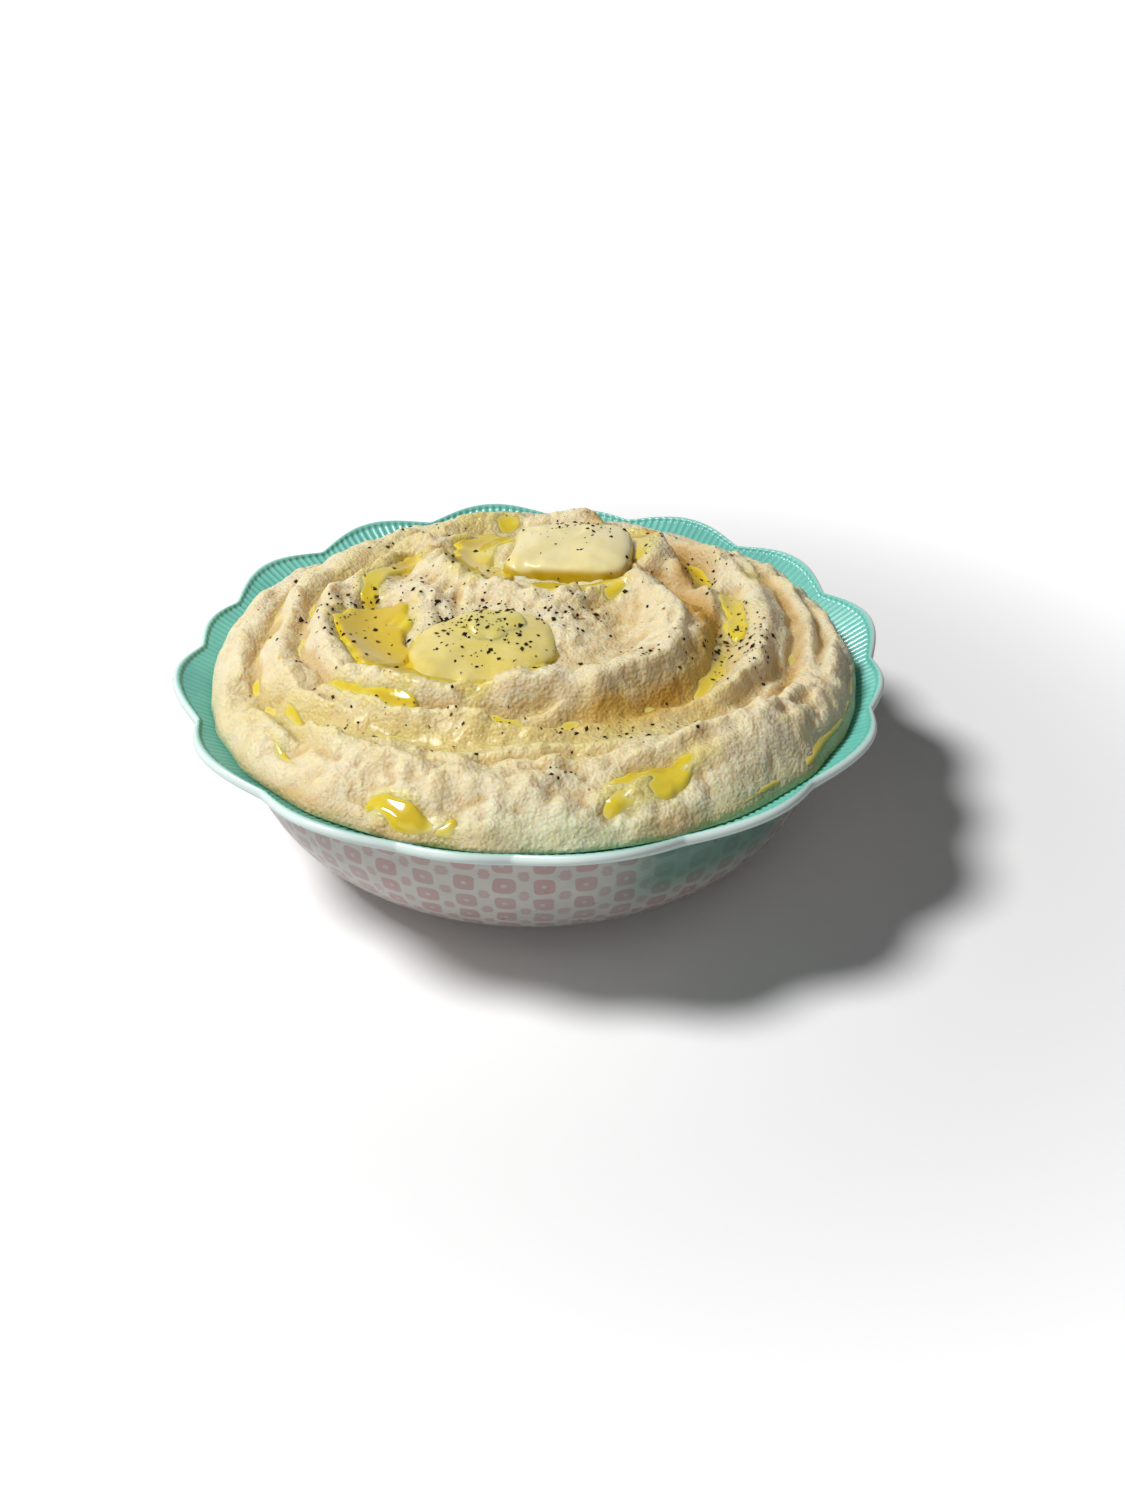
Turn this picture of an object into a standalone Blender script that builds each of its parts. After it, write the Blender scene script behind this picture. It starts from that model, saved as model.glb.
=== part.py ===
"""Scalloped serving bowl heaped with swirled mashed potato, two softened pats of butter sunk in it.

Metres, +Z up, the front towards -Y. The origin is at the centre of the foot, on the table.
"""

import math

import bmesh
import bpy
import numpy as np
from mathutils import Matrix, Vector

# Rim: crest radius, and the height of the flare where its radius is RIM_MEAN
RIM = 0.125
RIM_MEAN = 0.97 * RIM
RIM_HEIGHT = 0.066
FLARE_SLOPE = 0.633
CUSP_EDGE = 0.958 * RIM
SMALL_CREST = 0.977 * RIM
# Scallops: each quarter turn has one small scallop, then three large ones (degrees)
FIRST_CUSP = -18.47
SMALL_WIDTH = 16.4
LARGE_WIDTH = (90 - SMALL_WIDTH) / 3
SCALLOP_POWER = 1.18
# Wall and foot
WALL = 0.004
WALL_TOP_RADIUS = 0.84 * RIM
WALL_TOP = 0.0505
WALL_BASE = 0.0025
FOOT_RADIUS = 0.0585
FOOT_WIDTH = 0.006
FOOT_RECESS = 0.0018
FULLNESS = 2.2
# Mash: an even dome above the rim, swept by strokes of the spoon
GAP = 0.0004
CROWN = 0.135 * RIM
DOME_RADIUS = 0.93 * RIM
DOME_POWER = 4
MASH_EDGE = 0.905 * RIM
# Its edge: how much further it reaches at the front, over how many degrees, how much it is
# drawn in at the back, and how much it wavers
FRONT_REACH = 0.040
FRONT_SPREAD = 62.0
BACK_DRAW = 0.050
BACK_SPREAD = 82.0
EDGE_WAVER = 0.006
EDGE_ROW = MASH_EDGE - 0.001
EDGE_RISE = 0.0022
FADE_FROM = 0.80 * RIM
# Facets round the bowl and round the mash
BOWL_STEPS = 128
MASH_STEPS = 80
DOME_RINGS = 21
WALL_RINGS = 5

# Strokes of the spoon, lengths as shares of RIM and angles in degrees from +X:
# centre x, y, radius at the start and the end, first angle, last angle, half width, height
STROKES = {
    "curl": (0.09, -0.13, 0.325, 0.305, -122, 46, 0.062, 0.052),
    "curl_shadow": (0.09, -0.13, 0.440, 0.430, -100, 46, 0.048, -0.040),
    "left_lip": (-0.12, 0.00, 0.46, 0.47, 168, 274, 0.045, 0.038),
    "left_hollow": (-0.12, 0.00, 0.31, 0.34, 172, 250, 0.076, -0.058),
    "saddle": (0.05, 0.33, 0.31, 0.33, 195, 315, 0.070, 0.030),
    "back_lobe": (0.12, 0.38, 0.250, 0.275, -42, 88, 0.055, 0.040),
    "back_groove": (0.12, 0.30, 0.38, 0.385, -16, 58, 0.052, -0.052),
    "back_hollow": (0.05, 0.33, 0.24, 0.24, 120, 215, 0.060, -0.030),
    "right_groove": (0.00, 0.00, 0.57, 0.56, -35, 25, 0.050, -0.035),
    "right_ridge": (0.00, 0.00, 0.67, 0.67, -40, 40, 0.050, 0.025),
    "right_outer": (0.00, 0.00, 0.77, 0.76, -40, 30, 0.045, -0.025),
    "bulge": (0.00, 0.00, 0.83, 0.80, -75, -5, 0.060, 0.040),
    "front_valley": (-0.05, 0.35, 0.97, 0.97, 228, 300, 0.075, -0.035),
    "front_ridge": (0.00, 0.00, 0.78, 0.80, -130, -78, 0.060, 0.025),
    "left_groove": (0.00, 0.00, 0.66, 0.60, 135, 222, 0.050, -0.030),
    "left_ridge": (0.00, 0.00, 0.76, 0.72, 125, 228, 0.055, 0.025),
    "back_ridge": (0.00, 0.00, 0.68, 0.66, 35, 130, 0.060, 0.030),
    "back_outer": (0.00, 0.00, 0.80, 0.80, 50, 125, 0.045, -0.025),
}
STROKE_TAPER = 14.0

# Pats: centre, size along its own x, y and z, lean about x, y and z in degrees
BACK_PAT = ((0.0125, 0.0380, 0.0841), (0.043, 0.037, 0.0140), (3, -2, -4))
FRONT_PAT = ((-0.0175, -0.0275, 0.0790), (0.047, 0.036, 0.0095), (12, -4, 14))
FRONT_LUMP = ((-0.0120, -0.0195, 0.0832), (0.022, 0.018, 0.0070), (12, 4, 0))
# How far below each pat's middle the mash lies round it
SUNK = (0.0042, 0.0012)
PAT_ROUNDING = 0.42
# Under a pat the mash is level with its seat up to the first share of its half size, and as it
# was beyond the second
SEAT_REACH = 0.85
HOLLOW_REACH = 1.25

COLORS = {
    "bowl": (0.30, 0.66, 0.58),
    "mash": (0.84, 0.74, 0.58),
    "butter_front": (0.82, 0.72, 0.26),
    "butter_back": (0.84, 0.76, 0.34),
}


def edge_radius(angle):
    """Radius of the scalloped edge: one small and three large scallops a quarter turn."""
    along = (angle - FIRST_CUSP) % 90
    small = along < SMALL_WIDTH
    share = np.where(small, along / SMALL_WIDTH, (along - SMALL_WIDTH) % LARGE_WIDTH / LARGE_WIDTH)
    crest = np.where(small, SMALL_CREST, RIM)
    return CUSP_EDGE + (crest - CUSP_EDGE) * np.sin(math.pi * share) ** SCALLOP_POWER


def even_steps(turn):
    """Angle for a share of the turn, so that every scallop has the same number of facets."""
    ends = SMALL_WIDTH + LARGE_WIDTH * np.arange(4)
    return FIRST_CUSP + turn // 90 * 90 + np.interp(turn % 90, 22.5 * np.arange(5), (0, *ends))


def flare_height(radius):
    """Height of the flare's upper face, a cone."""
    return RIM_HEIGHT + FLARE_SLOPE * (radius - RIM_MEAN)


def wall_curve(count):
    """Outer wall from the foot up: a quarter of a superellipse, as rows of radius and height."""
    share = np.linspace(0, 1, count) ** 1.8
    reach = (1 - (1 - share) ** FULLNESS) ** (1 / FULLNESS)
    radius = FOOT_RADIUS + (WALL_TOP_RADIUS - FOOT_RADIUS) * reach
    return np.stack([radius, WALL_BASE + (WALL_TOP - WALL_BASE) * share], axis=1)


def inward(curve, distance):
    """The curve moved in towards the axis, square to itself."""
    along = np.gradient(curve, axis=0)
    square = np.stack([-along[:, 1], along[:, 0]], axis=1)
    return curve + distance * square / np.linalg.norm(square, axis=1, keepdims=True)


def inner_curve(distance):
    """Inside of the bowl at a distance from its outer face: floor, wall and start of the flare."""
    wall = inward(wall_curve(WALL_RINGS), distance)[1:]
    floor = (0.0, wall[0, 1]), (0.6 * wall[0, 0], wall[0, 1])
    corner = WALL_TOP_RADIUS - distance + 0.0022
    lift = (distance - WALL) * math.hypot(1, FLARE_SLOPE)
    return np.array([*floor, *wall[:-1], (corner, flare_height(corner) + lift)])


def bowl_profile():
    """The bowl's section, from the middle of its floor over the lip to the middle of its foot."""
    lip = WALL / 2
    lean = math.atan(FLARE_SLOPE)
    middle = np.array((RIM - lip, flare_height(RIM - lip) - lip / math.cos(lean)))
    turns = np.radians((90, 30, -30, -90)) + lean
    rounded = middle + lip * np.stack([np.cos(turns), np.sin(turns)], axis=1)
    outer = wall_curve(WALL_RINGS)[::-1]
    inner_foot = FOOT_RADIUS - FOOT_WIDTH
    foot = (
        (FOOT_RADIUS - 0.0008, 0.0),
        (inner_foot + 0.0008, 0.0),
        (inner_foot, FOOT_RECESS),
        (0.0, FOOT_RECESS),
    )
    return np.concatenate([inner_curve(WALL), rounded, outer, foot])


def edge_share(angle):
    """The mash's edge over MASH_EDGE: a wavering circle, fuller at the front, drawn in behind."""
    turn = (angle + 90) % 360 - 180
    front = np.exp(-(((180 - np.abs(turn)) / FRONT_SPREAD) ** 4))
    back = np.exp(-((turn / BACK_SPREAD) ** 4))
    return 1 + FRONT_REACH * front - BACK_DRAW * back + EDGE_WAVER * np.sin(3 * np.radians(angle))


def dome_height(radius):
    """Height of the mash before it is swept: a flat-topped dome that meets the flare."""
    return RIM_HEIGHT + CROWN * (1 - (radius / DOME_RADIUS) ** DOME_POWER)


def mash_profile():
    """The mash's section, from the middle of its underside out, over its edge and in to its crown."""
    under = inner_curve(WALL + GAP)
    lift = GAP * math.hypot(1, FLARE_SLOPE)
    edge = (MASH_EDGE, flare_height(MASH_EDGE) + lift)
    shoulder = (MASH_EDGE + 0.0003, edge[1] + EDGE_RISE)
    radii = np.linspace(MASH_EDGE - 0.002, 0.0, DOME_RINGS)
    top = np.stack([radii, dome_height(radii)], axis=1)
    return np.concatenate([under, [edge, shoulder], top])


def stroke_height(x, y, stroke):
    """A spoon stroke: a rounded ridge or groove along an arc, tapered at both ends."""
    centre_x, centre_y, first, last, start, end, width, height = stroke
    across, up = x / RIM - centre_x, y / RIM - centre_y
    angle = (np.degrees(np.arctan2(up, across)) - start) % 360
    sweep = end - start
    before = angle > (360 + sweep) / 2
    past = np.where(before, 360 - angle, np.maximum(angle - sweep, 0))
    share = np.where(before, 0, np.clip(angle / sweep, 0, 1))
    off = (np.hypot(across, up) - first - (last - first) * share) / width
    return RIM * height * np.exp(-(off**2) - (past / STROKE_TAPER) ** 2)


def frame_of(pat):
    """Where a pat lies: its turn and its place."""
    centre, _, lean = pat
    turn = Matrix.Identity(4)
    for degrees, axis in zip(lean, "XYZ"):
        turn = Matrix.Rotation(math.radians(degrees), 4, axis) @ turn
    return Matrix.Translation(Vector(centre)) @ turn


def mash_height(x, y, radius):
    """Height of the swept mash, with a hollow under each pat; the radius is before it is drawn
    in or out to the edge."""
    strokes = [stroke_height(x, y, stroke) for stroke in STROKES.values()]
    swept = np.max([*strokes, 0 * x], axis=0) + np.min([*strokes, 0 * x], axis=0)
    fade = np.clip((MASH_EDGE - radius) / (MASH_EDGE - FADE_FROM), 0, 1)
    height = dome_height(radius) + swept * fade
    for ((cx, cy, cz), (length, depth, _), lean), sunk in zip((BACK_PAT, FRONT_PAT), SUNK):
        turn = math.radians(lean[2])
        u = (x - cx) * math.cos(turn) + (y - cy) * math.sin(turn)
        v = (y - cy) * math.cos(turn) - (x - cx) * math.sin(turn)
        reach = np.hypot(2 * u / length, 2 * v / depth)
        share = np.clip((HOLLOW_REACH - reach) / (HOLLOW_REACH - SEAT_REACH), 0, 1)
        seat = cz + v * math.tan(math.radians(lean[0])) - u * math.tan(math.radians(lean[1])) - sunk
        height = height + (np.minimum(height, seat) - height) * share**2 * (3 - 2 * share)
    return height


def material(name):
    """A plain material of the piece's own colour."""
    made = bpy.data.materials.new(name)
    made.use_nodes = True
    shader = made.node_tree.nodes["Principled BSDF"]
    shader.inputs["Base Color"].default_value = (*COLORS[name], 1)
    shader.inputs["Roughness"].default_value = 0.25 if name == "bowl" else 0.5
    shader.inputs["Metallic"].default_value = 0
    made.diffuse_color = (*COLORS[name], 1)
    return made


def place(thing, collection):
    collection.objects.link(thing)
    return thing


def turned(name, profile, steps, collection):
    """A profile of radius and height turned once round the z axis."""
    mesh = bpy.data.meshes.new(name)
    rows = [(radius, 0, height) for radius, height in profile.tolist()]
    mesh.from_pydata(rows, [(i, i + 1) for i in range(len(rows) - 1)], [])
    thing = place(bpy.data.objects.new(name, mesh), collection)
    screw = thing.modifiers.new("Turn", "SCREW")
    screw.steps = screw.render_steps = steps
    screw.use_merge_vertices = True
    screw.merge_threshold = 0.00001
    screw.use_smooth_shade = True
    return settled(thing)


def settled(thing):
    """The piece with its modifiers applied, its faces pointing out."""
    view = bpy.context.evaluated_depsgraph_get()
    mesh = bpy.data.meshes.new_from_object(thing.evaluated_get(view))
    thing.modifiers.clear()
    thing.data = mesh
    body = bmesh.new()
    body.from_mesh(mesh)
    bmesh.ops.recalc_face_normals(body, faces=body.faces)
    body.to_mesh(mesh)
    body.free()
    return thing


def points_of(mesh):
    flat = np.empty(3 * len(mesh.vertices))
    mesh.vertices.foreach_get("co", flat)
    return flat.reshape(-1, 3)


def make_bowl(collection):
    """Turned bowl whose flare is drawn in or out along its cone to the scalloped edge."""
    bowl = turned("bowl", bowl_profile(), BOWL_STEPS, collection)
    x, y, z = points_of(bowl.data).T
    radius = np.hypot(x, y)
    angle = even_steps(np.degrees(np.arctan2(y, x)) % 360 + 1e-4)
    reach = (edge_radius(angle) - WALL_TOP_RADIUS) / (RIM - WALL_TOP_RADIUS)
    on_flare = (radius > WALL_TOP_RADIUS) & (z > WALL_TOP - WALL)
    drawn = np.where(on_flare, WALL_TOP_RADIUS + (radius - WALL_TOP_RADIUS) * reach, radius)
    height = z + FLARE_SLOPE * (drawn - radius)
    turn = np.radians(angle)
    moved = np.stack([drawn * np.cos(turn), drawn * np.sin(turn), height], axis=1)
    bowl.data.vertices.foreach_set("co", moved.ravel())
    bowl.data.update()
    bowl.data.materials.append(material("bowl"))
    return bowl


def make_mash(collection, cutters):
    """Turned heap swept into swirls, then hollowed for the pats."""
    mash = turned("mash", mash_profile(), MASH_STEPS, collection)
    x, y, z = points_of(mash.data).T
    radius = np.hypot(x, y)
    share = edge_share(np.degrees(np.arctan2(y, x)))
    on_edge = radius > EDGE_ROW
    on_top = (z > dome_height(radius) - 1e-5) & ~on_edge
    share = np.where(on_top | on_edge, share, 1)
    x, y = x * share, y * share
    z = np.where(on_edge, z + FLARE_SLOPE * radius * (share - 1), z)
    z = np.where(on_top, mash_height(x, y, radius), z)
    mash.data.vertices.foreach_set("co", np.stack([x, y, z], axis=1).ravel())
    mash.data.update()
    mash.data.materials.append(material("mash"))
    for cutter in cutters:
        hollow = mash.modifiers.new(f"Hollow {cutter.name}", "BOOLEAN")
        hollow.operation = "DIFFERENCE"
        hollow.solver = "EXACT"
        hollow.object = cutter
    return mash


def slab(name, pat, grow, collection):
    """A slab of butter gone soft: a box with wide rounded edges, smoothed and laid in place."""
    size = Vector(pat[1]) + Vector((2, 2, 2)) * grow
    body = bmesh.new()
    bmesh.ops.create_cube(body, size=1)
    bmesh.ops.scale(body, vec=size, verts=body.verts)
    mesh = bpy.data.meshes.new(name)
    body.to_mesh(mesh)
    body.free()
    thing = place(bpy.data.objects.new(name, mesh), collection)
    bevel = thing.modifiers.new("Soft edges", "BEVEL")
    bevel.width = PAT_ROUNDING * size.z
    bevel.segments = 2
    bevel.limit_method = "NONE"
    smooth = thing.modifiers.new("Slump", "SUBSURF")
    smooth.levels = smooth.render_levels = 1
    settled(thing)
    thing.data.transform(frame_of(pat))
    return thing


def make_butter(name, pats, grow, collection):
    """One body of butter from its slabs, the later ones joined on to the first."""
    whole = slab(name, pats[0], grow, collection)
    for index, pat in enumerate(pats[1:]):
        lump = slab(f"{name}_lump_{index}", pat, grow, collection)
        join = whole.modifiers.new("Join", "BOOLEAN")
        join.operation = "UNION"
        join.solver = "EXACT"
        join.object = lump
        settled(whole)
        bpy.data.objects.remove(lump)
    for face in whole.data.polygons:
        face.use_smooth = True
    return whole


def main():
    for old in list(bpy.data.objects):
        bpy.data.objects.remove(old)
    part = bpy.data.collections.new("mashed_potato_side")
    cutting = bpy.data.collections.new("cutters")
    for collection in (part, cutting):
        bpy.context.scene.collection.children.link(collection)

    butters = {"butter_front": (FRONT_PAT, FRONT_LUMP), "butter_back": (BACK_PAT,)}
    cutters = []
    for name, pats in butters.items():
        butter = make_butter(name, pats, 0.0, part)
        butter.data.materials.append(material(name))
        cutter = make_butter(f"{name}_cutter", pats, GAP, cutting)
        cutter.hide_render = True
        cutter.display_type = "WIRE"
        cutters.append(cutter)
    make_bowl(part)
    make_mash(part, cutters)


main()
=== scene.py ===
"""Scalloped serving bowl of swirled mashed potato with butter, melted butter and pepper.

Laid out as an add-on and run as a script. Lengths are in metres, +Z is up and the front is -Y.
"""

import math

import bpy
import numpy as np
from bpy.props import FloatProperty, FloatVectorProperty, IntProperty, PointerProperty
from mathutils import Matrix, Vector
from mathutils.bvhtree import BVHTree


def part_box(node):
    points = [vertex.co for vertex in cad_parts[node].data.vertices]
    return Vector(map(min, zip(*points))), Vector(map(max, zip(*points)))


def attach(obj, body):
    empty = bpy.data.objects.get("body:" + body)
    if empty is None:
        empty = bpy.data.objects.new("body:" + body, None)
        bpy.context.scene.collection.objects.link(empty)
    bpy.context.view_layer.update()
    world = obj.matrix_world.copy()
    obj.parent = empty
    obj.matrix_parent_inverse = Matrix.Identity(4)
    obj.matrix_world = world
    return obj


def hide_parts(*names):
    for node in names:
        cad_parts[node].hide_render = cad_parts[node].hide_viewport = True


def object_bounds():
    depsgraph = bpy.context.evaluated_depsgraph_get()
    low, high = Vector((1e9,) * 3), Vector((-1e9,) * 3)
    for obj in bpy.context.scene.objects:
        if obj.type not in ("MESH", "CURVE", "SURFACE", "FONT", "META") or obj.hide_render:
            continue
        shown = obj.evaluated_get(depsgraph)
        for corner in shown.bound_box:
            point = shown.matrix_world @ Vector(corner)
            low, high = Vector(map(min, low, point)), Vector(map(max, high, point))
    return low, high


bl_info = {
    "name": "Mashed Potato Side",
    "version": (1, 0, 0),
    "blender": (4, 5, 0),
    "location": "3D View > Sidebar > Mash",
    "description": "Makes a scalloped bowl of swirled mashed potato with butter and pepper",
    "category": "Object",
}

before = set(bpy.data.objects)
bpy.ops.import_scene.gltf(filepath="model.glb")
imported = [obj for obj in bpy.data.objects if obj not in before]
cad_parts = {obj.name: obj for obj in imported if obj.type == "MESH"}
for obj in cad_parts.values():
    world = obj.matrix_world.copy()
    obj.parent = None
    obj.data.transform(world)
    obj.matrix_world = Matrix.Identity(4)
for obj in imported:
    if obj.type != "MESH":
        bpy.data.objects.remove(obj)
CAD_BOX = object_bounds()
BOWL_LOW, BOWL_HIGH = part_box("bowl")
TOP = CAD_BOX[1][2]

# Rim radius at the crest of a large scallop; the crests near the X axis reach CREST_REACH of it
CREST_REACH = 0.98857
RIM = (BOWL_HIGH[0] - BOWL_LOW[0]) / 2 / CREST_REACH
RIM_MEAN = 0.97 * RIM
RIM_HEIGHT = BOWL_LOW[2] + 0.066
FLARE_SLOPE = 0.633
CUSP_EDGE = 0.958 * RIM
SMALL_CREST = 0.977 * RIM
FIRST_CUSP = -18.47
SMALL_WIDTH = 16.4
LARGE_WIDTH = (90 - SMALL_WIDTH) / 3
SCALLOP_POWER = 1.18
RIBS = 264
WALL = 0.004
WALL_TOP_RADIUS = 0.84 * RIM
LIP_START = 3.2
WALL_TOP = BOWL_LOW[2] + 0.0505
WALL_BASE = BOWL_LOW[2] + 0.0025
FOOT_RADIUS = 0.0585
FOOT_WIDTH = 0.006
FOOT_RECESS = 0.0018
FOOT_ROUND = 0.0010
FOOT_FILLET = 0.0006
FULLNESS = 2.2
# How far the bead's middle lies under the flare's face, and the gaps left in the bowl's section
# where its parts bend into each other
BEAD_DROP = 0.0016
BEND_GAP = 0.0012
BEAD_GAP = 0.0008
# Paint on the bowl, as lengths along its section from the lip: where the lip's pale edge ends,
# where the print starts, and where the teal patch on the outer wall ends, each with its fade; and
# the patch's middle and width in degrees
LIP_END, LIP_FADE = 0.0075, 0.0045
PRINT_START, PRINT_FADE = 0.004, 0.003
TEAL_PATCH_RISE, TEAL_PATCH_END, TEAL_PATCH_FADE = 0.01, 0.052, 0.02
TEAL_PATCH_ANGLE, TEAL_PATCH_WIDTH = 305, 17.0
GAP = 0.0004
CROWN = 0.135 * RIM
DOME_REACH = 1.02
DOME_POWER = 4
MASH_EDGE = 0.905 * RIM
# The heap's edge: how much further it reaches at the front and is drawn in at the back, over
# how many degrees, and how much it wavers
FRONT_REACH = 0.040
FRONT_SPREAD = 62
BACK_DRAW = 0.050
BACK_SPREAD = 82
EDGE_WAVER = 0.006
EDGE_ROUGH = 0.008
SHOULDER = 0.055 * RIM
TOP_KNEE = 0.0022
TOP_GAP = 0.0005
# The heap's small relief, heights in metres: folds laid down by the turning spoon, broad lumps,
# lumps, knobs (both higher beyond OUTER), grain and fine grain
FADE = 0.10 * RIM
OUTER = 0.66 * RIM
FOLD = 0.0012
BROAD_LUMP = 0.0010
LUMP, OUTER_LUMP = 0.0006, 0.0007
KNOB, OUTER_KNOB = 0.0011, 0.0010
GRAIN = 0.00070
FINE_GRAIN = 0.00042
# Under a pat the potato is level with its seat, and as it was beyond this share of its half size
SEAT_REACH = 1.22
SEAT_BLEND = 0.34

# Spoon strokes, lengths as shares of RIM, angles in degrees from +X towards the back:
# centre x, y, radius at start and end, first and last angle, width inside and outside, height,
# taper in degrees at the start and the end
STROKES = (
    # the curl that closes the swirl, its shadow, and the smooth floor it was swept from
    (0.09, -0.13, 0.345, 0.305, -122, 44, 0.080, 0.032, 0.060, 3, 12),
    (0.09, -0.13, 0.430, 0.415, -112, 50, 0.034, 0.050, -0.050, 9, 14),
    (-0.12, -0.02, 0.360, 0.400, 262, 288, 0.060, 0.030, -0.040, 8, 4),
    (0.10, -0.12, 0.16, 0.15, -95, 50, 0.09, 0.09, -0.036, 20, 20),
    # the lip round the left hollow, the hollow and the furrow outside it
    (-0.12, 0.00, 0.455, 0.470, 168, 274, 0.034, 0.050, 0.038, 10, 6),
    (-0.12, 0.00, 0.33, 0.34, 176, 245, 0.085, 0.080, -0.058, 10, 18),
    (-0.12, 0.00, 0.535, 0.520, 212, 287, 0.026, 0.026, -0.034, 12, 10),
    # the saddle between the hollows, the ring of folds round the back pat
    (0.05, 0.33, 0.315, 0.335, 192, 318, 0.045, 0.075, 0.045, 10, 12),
    (0.12, 0.38, 0.250, 0.255, -42, 88, 0.042, 0.040, 0.050, 8, 20),
    (0.12, 0.30, 0.365, 0.335, -16, 62, 0.036, 0.045, -0.085, 10, 14),
    (0.05, 0.33, 0.235, 0.250, 122, 222, 0.055, 0.050, -0.040, 12, 12),
    (0.05, 0.33, 0.36, 0.38, 105, 190, 0.035, 0.050, 0.028, 12, 12),
    # folds and furrows down the right side
    (0.00, 0.00, 0.495, 0.505, -22, 30, 0.055, 0.022, 0.036, 7, 5),
    (0.00, 0.00, 0.565, 0.560, -34, 14, 0.026, 0.038, -0.034, 8, 7),
    (0.00, 0.00, 0.648, 0.660, -38, 40, 0.045, 0.030, 0.026, 10, 12),
    (0.00, 0.00, 0.722, 0.742, -32, 16, 0.018, 0.026, -0.028, 7, 8),
    (0.00, 0.00, 0.775, 0.790, -28, 34, 0.030, 0.020, 0.016, 8, 12),
    (0.00, 0.00, 0.815, 0.815, -32, 8, 0.016, 0.024, -0.024, 7, 8),
    # the bulge at the right front
    (0.00, 0.00, 0.745, 0.872, -56, 0, 0.034, 0.110, 0.058, 10, 14),
    (0.00, 0.00, 0.660, 0.700, -58, -22, 0.030, 0.040, -0.030, 9, 9),
    # bands across the front
    (0.00, 0.15, 0.735, 0.735, 214, 304, 0.026, 0.045, 0.026, 12, 12),
    (-0.05, 0.35, 0.975, 0.965, 230, 298, 0.050, 0.040, -0.046, 10, 10),
    (-0.02, 0.00, 0.700, 0.690, -96, -74, 0.020, 0.016, -0.026, 6, 6),
    (0.00, 0.00, 0.780, 0.815, -128, -72, 0.045, 0.040, 0.034, 9, 9),
    (0.00, 0.00, 0.815, 0.765, -80, -58, 0.034, 0.034, -0.036, 6, 6),
    # bands down the left side
    (0.00, 0.00, 0.600, 0.660, 146, 216, 0.024, 0.036, -0.034, 12, 10),
    (0.00, 0.00, 0.680, 0.690, 138, 228, 0.045, 0.035, 0.018, 12, 12),
    (0.00, 0.00, 0.745, 0.800, 166, 224, 0.018, 0.026, -0.034, 10, 10),
    (0.00, 0.00, 0.820, 0.830, 160, 234, 0.040, 0.050, 0.012, 12, 10),
    (0.00, 0.00, 0.540, 0.520, 128, 176, 0.030, 0.030, 0.030, 9, 9),
    # bands across the back
    (0.00, 0.00, 0.670, 0.650, 40, 86, 0.050, 0.040, 0.030, 12, 9),
    (0.00, 0.00, 0.640, 0.700, 84, 140, 0.040, 0.050, 0.012, 9, 12),
    (0.00, 0.00, 0.780, 0.800, 44, 138, 0.026, 0.030, -0.040, 12, 12),
    (0.00, 0.00, 0.800, 0.780, 20, 110, 0.040, 0.050, 0.012, 12, 12),
    (0.00, 0.00, 0.580, 0.560, 62, 128, 0.024, 0.034, -0.036, 12, 9),
)
# Dabs and pockets: x, y, half length across and along, height, as shares of RIM
DABS = (
    (-0.31, 0.03, 0.075, 0.090, 0.034),
    (-0.18, 0.20, 0.045, 0.050, 0.026),
    (-0.365, 0.31, 0.042, 0.085, -0.075),
    (-0.030, -0.425, 0.055, 0.044, 0.070),
    (0.055, -0.460, 0.060, 0.040, 0.058),
    (-0.150, -0.385, 0.055, 0.050, -0.062),
    (0.20, 0.60, 0.110, 0.070, 0.030),
    (-0.735, -0.02, 0.026, 0.055, -0.045),
    (-0.57, -0.61, 0.045, 0.028, -0.036),
    (-0.28, -0.885, 0.085, 0.036, -0.060),
    (0.655, 0.245, 0.036, 0.045, -0.030),
    (0.30, -0.755, 0.120, 0.040, -0.030),
    (0.55, -0.31, 0.050, 0.050, -0.020),
    (-0.46, -0.74, 0.060, 0.030, 0.020),
    (0.09, -0.85, 0.070, 0.030, 0.020),
    (0.19, -0.87, 0.022, 0.030, -0.030),
)
STROKE_BLEND = 3.0

# Height of the potato under the back and the front pat, from the pat's centre
SUNK = (-0.0040, -0.0012)
# Slabs of butter: centre, size, and lean about x, y and z in degrees
BACK_PAT = ((0.0125, 0.0380, 0.0833), (0.042, 0.036, 0.0125), (3, -2, -4))
FRONT_PAT = ((-0.0175, -0.0275, 0.0790), (0.047, 0.036, 0.0095), (12, -4, 14))
FRONT_LUMP = ((-0.0120, -0.0195, 0.0832), (0.022, 0.018, 0.0070), (12, 4, 0))
# The slabs of each piece, how round their corners are, and how far their top's edge sags
FRONT_BUTTER = ((FRONT_PAT, 0.8, 0.0012), (FRONT_LUMP, 0.95, 0.0008))
BACK_BUTTER = ((BACK_PAT, 0.34, 0.0006),)
PAT_LUMP = 0.0009
PAT_GRAIN = 0.0004

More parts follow.
